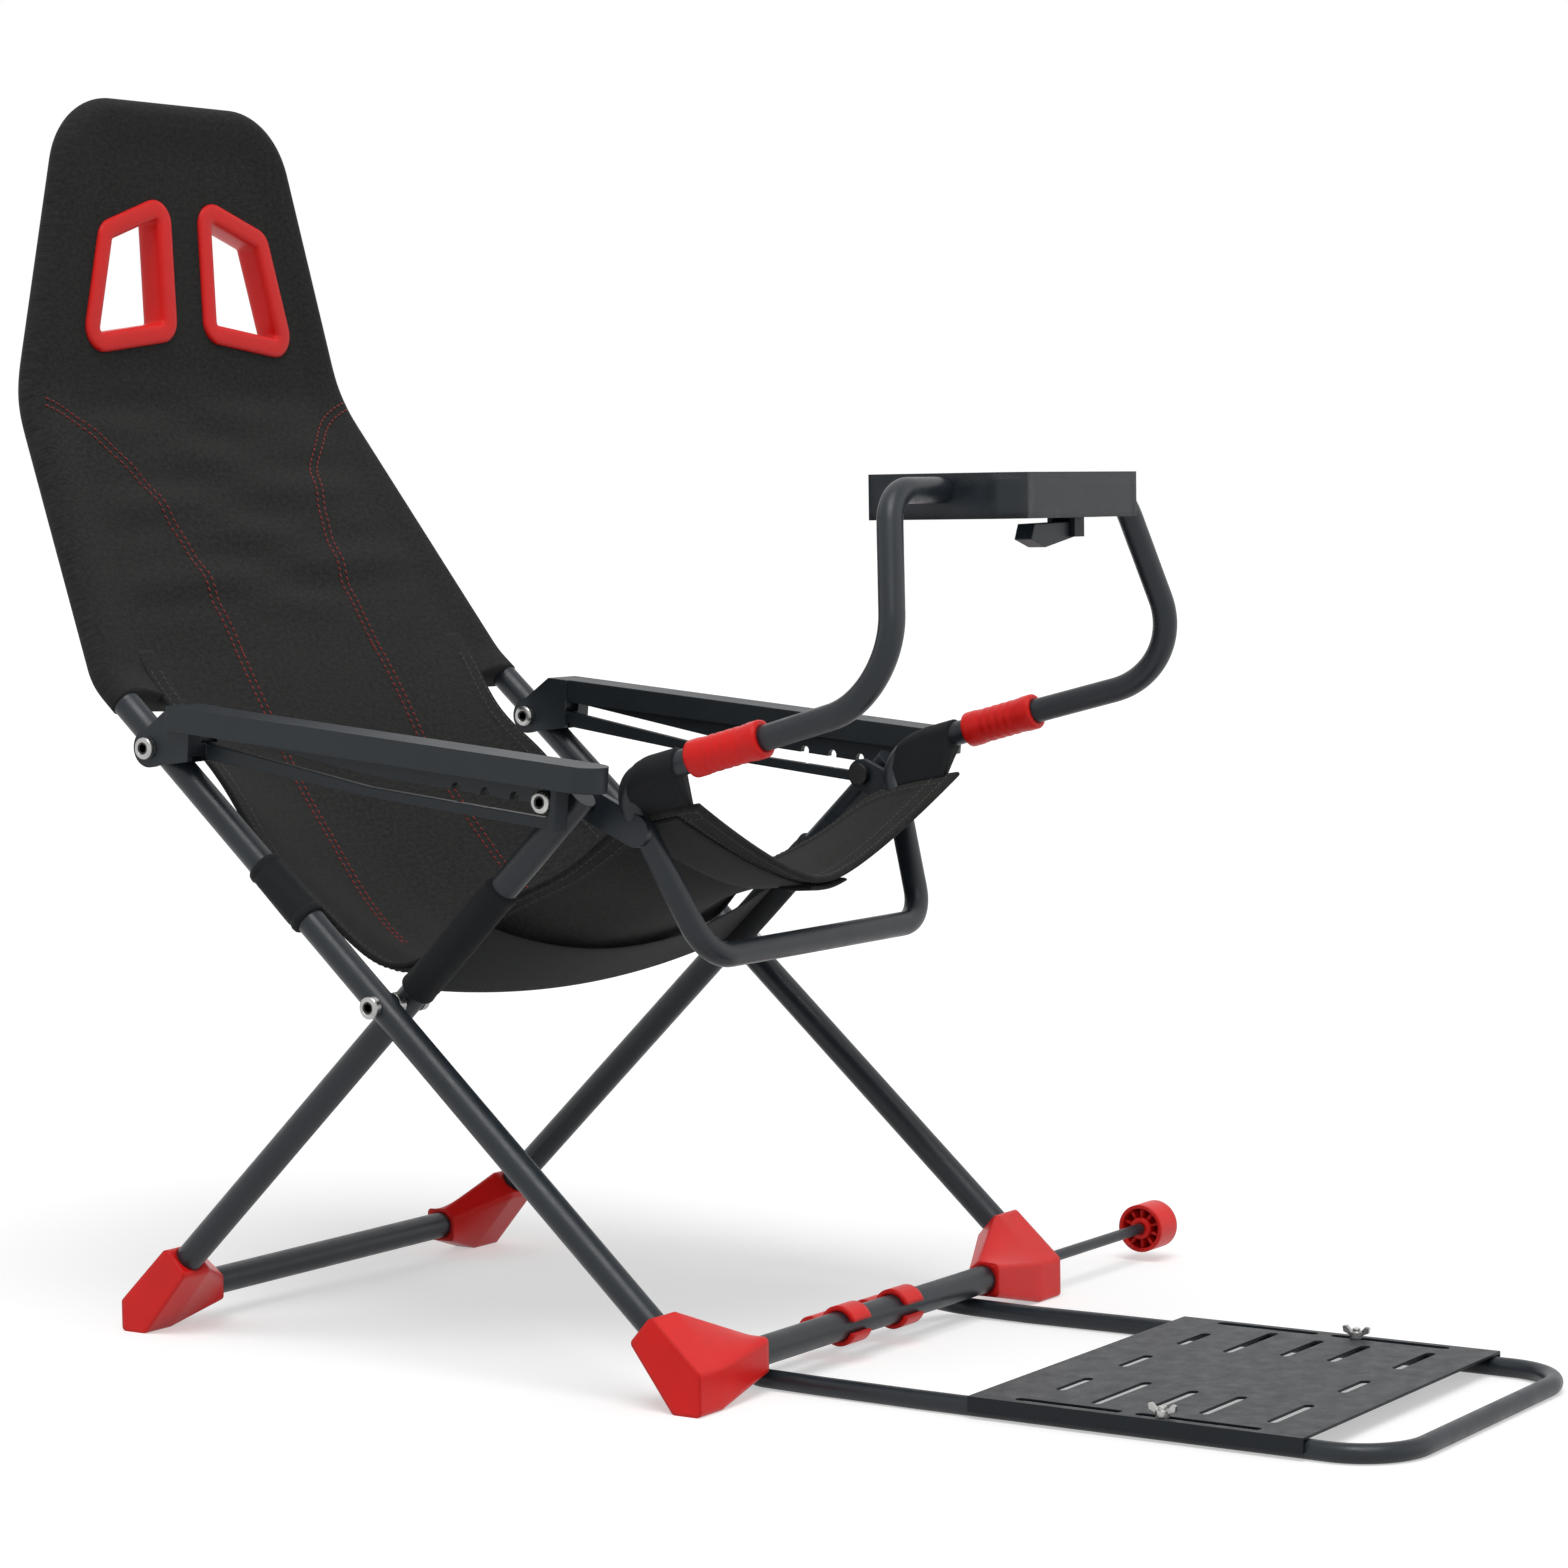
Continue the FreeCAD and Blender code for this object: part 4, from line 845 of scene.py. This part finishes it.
class SEAT_OT_webbing(bpy.types.Operator):
    """Cuffs on the legs, the strap under the seat, and the front strap with its loops on the deck tube"""

    bl_idname = "seat.webbing"
    bl_label = "Webbing"

    def front_cuffs(self):
        parts = []
        for side in (-1, 1):
            start = FRONT_BAR + FRONT_DIR * 0.462 + [side * FRONT_HALF, 0, 0]
            parts.append(cuff(start, FRONT_DIR, FRONT_CUFF, 7))
            sewn = panel_edge(side * SEWN_AT, np.linspace(start[1] + 0.045, start[1], 30), 0.1, 0.7)
            on_leg = start + np.linspace(FRONT_CUFF - 0.002, 0.002, 30)[:, None] * FRONT_DIR
            on_leg = on_leg + [-side * 0.0085, 0, -0.0085]
            parts.append(band((sewn + on_leg) / 2, (on_leg - sewn) / 2, 0.0024))
        points, faces, flat = joined(parts)
        piece = build("leg_cuffs", points, faces, "band_weave", "back_frame", "webbing", flat)
        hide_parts("front_cuffs")

    def rear_band(self):
        """Under strap: at each share of its width it hangs in an arc between the cuffs on the rear legs."""
        parts = []
        for side in (-1, 1):
            start = CROSS + REAR_DIR * REAR_START + [side * REAR_HALF, 0, 0]
            parts.append(cuff(start, REAR_DIR, REAR_CUFF, 5))
        x = np.linspace(-1, 1, 71)
        reach = REAR_HALF - 0.0085
        lines = []
        for up_leg, drop in ((REAR_START, 0.0165), (REAR_START + BAND_WIDTH, 0.036)):
            line = CROSS + REAR_DIR * up_leg - np.outer(1 - x**2, [0, 0, drop])
            lines.append(line + np.outer(x * reach, ACROSS))
        parts.append(band((lines[0] + lines[1]) / 2, (lines[1] - lines[0]) / 2, 0.0028, 21))
        points, faces, flat = joined(parts)
        piece = build("under_band", points, faces, "band_weave", "leg_frame", "webbing", flat)
        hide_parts("rear_cuffs", "under_strap")

    def loop(self, side):
        """Loop on the deck tube: round the tube by radius r, then both layers run on to the panel's edge at distance
        d, touching the tube where the cosine of the angle from that way is r / d."""
        knee = DECK_PIVOT + [0.184, -0.026, 0.014]
        start = GRIP + ARM_DIR * 0.006
        corner = DECK_PIVOT + [0.148, -0.076, -0.112]
        tube = rounded([start, start - ARM_DIR * 0.080, knee, corner], [0.026, 0.026], 16)
        s = run(tube)
        at = np.linspace(s[1] - 0.025, s[1] + 0.025, 44)
        path = read_line(at, s, tube) * [side, 1, 1]
        front = panel_frame(side * LOOP_AT, 1.0)[0][1]
        tip = panel_edge(side * LOOP_AT, np.linspace(front + 0.010, front + 0.060, len(at)), 0.8, 1.0)
        tip = tip if path[0, 1] < path[-1, 1] else tip[::-1]
        way = tip - path
        reach = np.linalg.norm(way, axis=1)
        end = np.minimum(at - at[0], at[-1] - at)
        radius = 0.0098 + 0.0022 * rolled(end, 0.0014)
        touch = np.arccos(radius / reach)
        turn = touch[:, None] + (2 * math.pi - 2 * touch)[:, None] * np.linspace(0, 1, 48)
        bow = radius[:, None, None] * np.stack([np.cos(turn), np.sin(turn)], -1)
        share = np.linspace(0, 1, 10)[1:, None]
        lips = [np.stack([reach, np.full_like(reach, gap)], -1) for gap in (-0.0018, 0.0018)]
        down = bow[:, -1:] + (lips[0][:, None] - bow[:, -1:]) * share
        back = (bow[:, :1] + (lips[1][:, None] - bow[:, :1]) * share)[:, ::-1]
        along = unit(np.gradient(path, axis=0))
        points, faces = sweep(path, unit(way), unit(np.cross(along, way)), np.concatenate([bow, down, back], 1))
        length = np.concatenate([at[:1], at, at[-1:]])[:, None]
        flat = np.stack(np.broadcast_arrays(np.linspace(0, 0.13, points.shape[1])[None], length), -1)
        return points.reshape(-1, 3), faces, flat.reshape(-1, 2)

    def front_strap(self):
        """Front strap: it follows the underside of the panel between the loops on the deck tube, with a short tab
        sewn under its middle."""
        parts = []
        for u, v, ahead_v, drop, half, thick in (
            (np.linspace(-0.97, 0.97, 121), 0.944, 0.972, 0.0036, 0.024, 0.0026),
            (np.linspace(-0.10, 0.15, 30), 0.972, 0.99, 0.0068, 0.016, 0.0036),
        ):
            middle, normal = panel_frame(u, v)
            ahead, _ = panel_frame(u, ahead_v)
            parts.append(band(middle - normal * drop, unit(ahead - middle) * half, thick))
        points, faces, flat = joined(parts + [self.loop(-1), self.loop(1)])
        piece = build("front_strap", points, faces, "band_weave", None, "webbing", flat)
        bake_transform(piece)

    def execute(self, context):
        self.front_cuffs()
        self.rear_band()
        self.front_strap()
        return {"FINISHED"}


# Stitching


def stitches(line, normal, pitch, length, radius):
    """Row of threads laid on a line: one slim rod with tapered ends, copied along the line at each pitch."""
    s = run(line)
    at = np.arange(pitch / 2, s[-1], pitch)
    place = read_line(at, s, line)
    along = read_line(at, s, unit(np.gradient(line, axis=0)))
    up = unit(read_line(at, s, normal))
    side = unit(np.cross(up, along))
    along = np.cross(side, up)
    _, ring = circle(6)
    reach = (np.array([-0.5, -0.44, 0.0, 0.44, 0.5]) * length)[:, None]
    thick = (np.array([0.05, 0.8, 1.0, 0.8, 0.05]) * radius)[:, None]
    lift = (np.array([-0.9, -0.2, 0.35, -0.2, -0.9]) * radius)[:, None]
    local = np.stack(np.broadcast_arrays(reach, thick * ring[:, 0], thick * ring[:, 1] + lift), -1)
    axes = np.stack([along, side, up], 1)
    points = place[:, None, None] + np.einsum("rkc,nca->nrka", local, axes)
    rows, columns = local.shape[:2]
    first = np.arange(len(at))[:, None, None] * (rows * columns)
    faces = (quads(rows, columns, wrap_columns=True)[None] + first).reshape(-1, 4)
    return points.reshape(-1, 3), faces, np.zeros((len(at) * rows * columns, 2))


def panel_stitches(u, v, face, lift, pitch, length, radius):
    """Row of threads on the seat panel: on its upper face where face is 1, on its underside where it is -1."""
    place, normal = panel_frame(u, v)
    normal = normal * face
    return stitches(place + normal * (panel_thick(u, v) + lift)[:, None], normal, pitch, length, radius)


SEAM_BACK = np.array(
    # height along the back from its foot, distance from the middle
    [[0.272, 0.187], [0.262, 0.165], [0.243, 0.142], [0.214, 0.117], [0.194, 0.106], [0.160, 0.096],
     [0.121, 0.088], [0.087, 0.0855], [0.056, 0.0855], [0.036, 0.0865]]
)
SEAM_PANEL = np.array(
    # share of the panel's length, distance from the middle
    [[0.013, 0.0865], [0.06, 0.088], [0.13, 0.088], [0.23, 0.090], [0.34, 0.094], [0.43, 0.100], [0.49, 0.106]]
)
HEM_STITCH = (0.0001, 0.0052, 0.0038, 0.0004)  # lift, pitch, length and radius


class SEAT_OT_stitching(bpy.types.Operator):
    """Two double seams down the back and the seat, and the stitched hems of the seat"""

    bl_idname = "seat.stitching"
    bl_label = "Stitching"

    def execute(self, context):
        cloth = settings("cloth")
        seam_stitch = (cloth.stitch_pitch, cloth.stitch_pitch * 0.72, 0.0008)
        back_rows, seat_rows, hems = [], [], []
        for side in (-1, 1):
            for offset in (-0.5, 0.5):
                shift = offset * cloth.seam_gap
                line = spline(np.linspace(0, 1, len(SEAM_BACK)), SEAM_BACK, np.linspace(0, 1, 200))
                way = unit(np.gradient(line, axis=0))
                line = line + shift * np.stack([way[:, 1], -way[:, 0]], -1)
                place, normal = back_point(line[:, 0], side * line[:, 1], 0.0003)
                back_rows.append(stitches(place, normal, *seam_stitch))
                v = np.linspace(0.004, 0.46, 200)
                line = spline(SEAM_PANEL[:, 0], SEAM_PANEL[:, 1:], v)[:, 0]
                u = side * (line + shift) / panel_point(1.0, v)[:, 0]
                seat_rows.append(panel_stitches(u, v, 1, 0.0002, *seam_stitch))
        build("back_seams", *joined(back_rows)[:2], "thread", "back_frame")
        seat = build("seat_seams", *joined(seat_rows)[:2], "thread")
        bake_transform(seat)
        for face in (-1, 1):
            for inset in (0.0045, 0.0150):
                for side in (-1, 1):
                    v = np.linspace(0.03, 1 - 0.004 / PANEL_RUN, 300)
                    u = side * (1 - inset / panel_point(1.0, v)[:, 0])
                    hems.append(panel_stitches(u, v, face, *HEM_STITCH))
                u = np.linspace(-0.975, 0.975, 200)
                hems.append(panel_stitches(u, 1 - inset / PANEL_RUN, face, *HEM_STITCH))
        hem = build("hem_stitches", *joined(hems)[:2], "hem_thread")
        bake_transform(hem)
        return {"FINISHED"}


# Red trim

RING_CORNER = 0.0165
SHARP_EDGE = math.radians(50)
SHARP_RIB = math.radians(60)
GRIP_LONG = 0.064
GRIP_BORE = 0.0096
RIB_PITCH = 0.0074


class SEAT_OT_head_rings(bpy.types.Operator):
    """Red rings in the head openings: a rounded section carried round a four-sided path with round corners"""

    bl_idname = "seat.head_rings"
    bl_label = "Head rings"

    def execute(self, context):
        section = np.array(
            # distance in from the outline, and depth back from the front face of the cover
            [[-0.0030, 0.0010], [-0.0030, -0.0012], [-0.0022, -0.0022], [-0.0008, -0.0026], [0.0030, -0.0028],
             [0.0080, -0.0028], [0.0106, -0.0026], [0.0122, -0.0019], [0.0132, -0.0008], [0.0136, 0.0010],
             [0.0138, 0.0070], [0.0138, 0.0130], [0.0134, 0.0190], [0.0126, 0.0212], [0.0105, 0.0226],
             [0.0065, 0.0232], [0.0028, 0.0230], [0.0008, 0.0218], [0.0, 0.0198], [0.0044, 0.0192], [0.0044, 0.0014]]
        )
        normal = np.array([0, -HEAD_DIR[2], HEAD_DIR[1]])
        front = SHOULDER + normal * (BACK_R - 0.003)
        middle = (RING_OUTLINE[0] + RING_OUTLINE[3]) / 2
        path = rounded(np.vstack([middle, RING_OUTLINE, middle]), [RING_CORNER] * 4, 12)[:-1]
        path = path[np.concatenate([[True], np.linalg.norm(np.diff(path, axis=0), axis=1) > 1e-6])]
        way = unit(np.roll(path, -1, axis=0) - np.roll(path, 1, axis=0))
        inward = np.stack([way[:, 1], -way[:, 0]], -1)
        for side, word in SIDES:
            plane = np.array([[side, 0, 0], HEAD_DIR])
            points, faces = sweep(front + path @ plane, inward @ plane, -normal, section, closed=True)
            ring = build("ring_" + word, points, faces, "red_shell", "back_frame", "red_plastic", sharp=SHARP_EDGE)
            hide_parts("head_ring_" + word)
        return {"FINISHED"}


class SEAT_OT_grips(bpy.types.Operator):
    """Ribbed red grips: a turned profile with a collar at each end and rounded grooves between"""

    bl_idname = "seat.grips"
    bl_label = "Grips"

    def execute(self, context):
        hard = settings("hard")
        lip = np.array([0, 0.0003, 0.001, 0.002])
        s = np.concatenate([lip, np.linspace(0.003, GRIP_LONG - 0.003, 170), GRIP_LONG - lip[::-1]])
        end = np.minimum(s, GRIP_LONG - s)
        nose = 0.0021 * (1 - rolled(end, 0.002))
        ribbed = smooth(0.010, 0.0125, end)
        wave = np.abs(np.sin(math.pi * (s - GRIP_LONG / 2) / RIB_PITCH)) ** 0.7
        radius = hard.grip_radius - nose - ribbed * (0.0004 + 0.6 * hard.rib_depth * (1 - wave))
        place = np.concatenate([[0], s, [GRIP_LONG]]) - GRIP_LONG / 2
        rings = np.concatenate([[GRIP_BORE], radius, [GRIP_BORE]])[:, None, None] * circle(64)[1]
        for side, word in SIDES:
            centre = GRIP * [side, 1, 1] + place[:, None] * ARM_DIR
            points, faces = sweep(centre, ACROSS, np.cross(ARM_DIR, ACROSS), rings, closed=True)
            grip = build("grip_" + word, points, faces, "red_shell", "deck_frame", "red_plastic", sharp=SHARP_RIB)
            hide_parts("deck_grip_" + word)
        return {"FINISHED"}


# Bolts

BOLT_R = 0.0085
SOCKET_DEEP = 0.002


class SEAT_OT_bolt_faces(bpy.types.Operator):
    """Rounded faces with six-sided sockets on the bolts' heads"""

    bl_idname = "seat.bolt_faces"
    bl_label = "Bolt faces"

    def face(self, name, place, out, body):
        """Turned face: a low dome with a rolled rim that drops into a six-sided socket."""
        height = np.array([0.0, 0.0004, 0.0010, 0.0016, 0.0018, 0.0014, 0.0012, -SOCKET_DEEP])
        turn, ring = circle(48)
        six = np.cos(math.pi / 6) / np.cos((turn + math.pi / 6) % (math.pi / 3) - math.pi / 6)
        dome = np.outer([1.0, 0.985, 0.9, 0.74, 0.60, 0.56], np.ones_like(turn))
        rings = np.concatenate([dome, [0.44 * six] * 2]) * BOLT_R
        centre = place + height[:, None] * out
        points, faces = sweep(centre, [0, 1.0, 0], [0, 0, 1.0], rings[..., None] * ring)
        piece = build(name, points, faces, "bright_zinc", body, "zinc", sharp=math.radians(35))
        # The socket's floor and walls take the near-black steel: painted shade in the recess.
        piece.data.materials.append(material("dark_steel"))
        middle = np.empty(len(piece.data.polygons) * 3)
        piece.data.polygons.foreach_get("center", middle)
        away = middle.reshape(-1, 3) - place
        inside = (np.linalg.norm(away[:, 1:], axis=1) < 0.52 * BOLT_R) & (away @ out > 0.00005 - SOCKET_DEEP)
        piece.data.polygons.foreach_set("material_index", inside.astype(np.int32))

    def execute(self, context):
        for side, word in SIDES:
            out = np.array([side, 0, 0])
            self.face("cross_bolt_face_" + word, CROSS + out * 0.256, out, "back_frame")
            self.face("arm_pin_face_" + word, ARM_PIVOT + out * 0.2623, out, "back_frame")
            self.face("arm_pin_inner_" + word, ARM_PIVOT + out * 0.2177, -out, "back_frame")
            low, high = (np.array(c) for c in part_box("armrest_bolt_" + word))
            place = (low + high) / 2
            place[0] = low[0] if side < 0 else high[0]
            self.face("arm_bolt_face_" + word, place, out, word + "_rest")
        return {"FINISHED"}


# Stage

FLOOR_HALF = 40.0
LAMP_WAYS = {"key": (36, (0.34, 0.22, -1.0)), "fill": (60, (-0.35, 0.90, -0.30))}  # spread in degrees, and direction


class SEAT_OT_stage(bpy.types.Operator):
    """Pale floor, even light with two soft lamps, and the camera at the photo's angle"""

    bl_idname = "seat.stage"
    bl_label = "Stage"

    def floor(self):
        mesh = bpy.data.meshes.new("floor")
        corners = [(x * FLOOR_HALF, y * FLOOR_HALF, 0) for x, y in ((-1, -1), (1, -1), (1, 1), (-1, 1))]
        mesh.from_pydata(corners, [], [(0, 1, 2, 3)])
        pale = Finish("floor", Roughness=0.9, Specular_IOR_Level=0.0, Emission_Strength=1.0)
        pale.feed(Base_Color=pale.mix(pale.noise(3, 2), (0.61, 0.61, 0.61), (0.63, 0.63, 0.63)))
        glow = settings("stage").floor_glow
        pale.feed(Emission_Color=pale.mix(pale.seen(), (0, 0, 0), (glow, glow, glow)))
        mesh.materials.append(pale.material)
        floor = bpy.data.objects.new("floor", mesh)
        bpy.context.scene.collection.objects.link(floor)

    def light(self, stage):
        scene = bpy.context.scene
        scene.view_settings.view_transform = "Standard"
        studio = Finish("studio", bpy.data.worlds, "Background", Strength=1.0)
        studio.feed(Color=studio.mix(studio.seen(), (stage.sky, stage.sky, stage.sky), (1, 1, 1)))
        scene.world = studio.material
        for name, (spread, way) in LAMP_WAYS.items():
            sun = bpy.data.lights.new(name, "SUN")
            sun.energy = getattr(stage, name)
            sun.angle = math.radians(spread)
            lamp = bpy.data.objects.new(name, sun)
            lamp.rotation_euler = Vector(way).to_track_quat("-Z", "Y").to_euler()
            scene.collection.objects.link(lamp)

    def camera(self, stage):
        level = math.cos(stage.pitch)
        sight = np.array([level * math.sin(stage.yaw), level * math.cos(stage.yaw), math.sin(stage.pitch)])
        right = np.array([math.cos(stage.yaw), -math.sin(stage.yaw), 0])
        up = np.cross(right, sight)
        c, s = math.cos(stage.roll), math.sin(stage.roll)
        right, up = c * right + s * up, c * up - s * right
        lens = bpy.data.cameras.new("photo_view")
        lens.sensor_width = 36
        lens.lens = stage.lens
        lens.clip_end = 200
        camera = bpy.data.objects.new("photo_view", lens)
        axes = np.stack([right, up, -sight], 1)
        rows = [(*row, place) for row, place in zip(axes, stage.camera_place)]
        camera.matrix_world = Matrix((*rows, (0, 0, 0, 1)))
        bpy.context.scene.collection.objects.link(camera)
        bpy.context.scene.camera = camera

    def execute(self, context):
        stage = settings("stage")
        self.floor()
        self.light(stage)
        self.camera(stage)
        return {"FINISHED"}


STEPS = (
    SEAT_OT_finishes,
    SEAT_OT_back_cover,
    SEAT_OT_seat_panel,
    SEAT_OT_webbing,
    SEAT_OT_stitching,
    SEAT_OT_head_rings,
    SEAT_OT_grips,
    SEAT_OT_bolt_faces,
    SEAT_OT_stage,
)


class SEAT_PT_sidebar(bpy.types.Panel):
    """Sizes, colours and steps of the seat"""

    bl_idname = "SEAT_PT_sidebar"
    bl_label = "Racing seat"
    bl_space_type = "VIEW_3D"
    bl_region_type = "UI"
    bl_category = "Seat"

    def draw(self, context):
        for name, group in GROUPS.items():
            box = self.layout.box()
            for size in group.__annotations__:
                box.prop(getattr(context.scene, name), size)
        for step in STEPS:
            self.layout.operator(step.bl_idname)


GROUPS = {"seat_cloth": SeatClothSettings, "seat_hard": SeatHardSettings, "seat_stage": SeatStageSettings}


def register():
    for cls in (*GROUPS.values(), *STEPS, SEAT_PT_sidebar):
        bpy.utils.register_class(cls)
    for name, group in GROUPS.items():
        setattr(bpy.types.Scene, name, bpy.props.PointerProperty(type=group))


def unregister():
    for name in GROUPS:
        delattr(bpy.types.Scene, name)
    for cls in (SEAT_PT_sidebar, *reversed(STEPS), *GROUPS.values()):
        bpy.utils.unregister_class(cls)


def main():
    register()
    for step in STEPS:
        area, word = step.bl_idname.split(".")
        getattr(getattr(bpy.ops, area), word)()


if __name__ == "__main__":
    main()
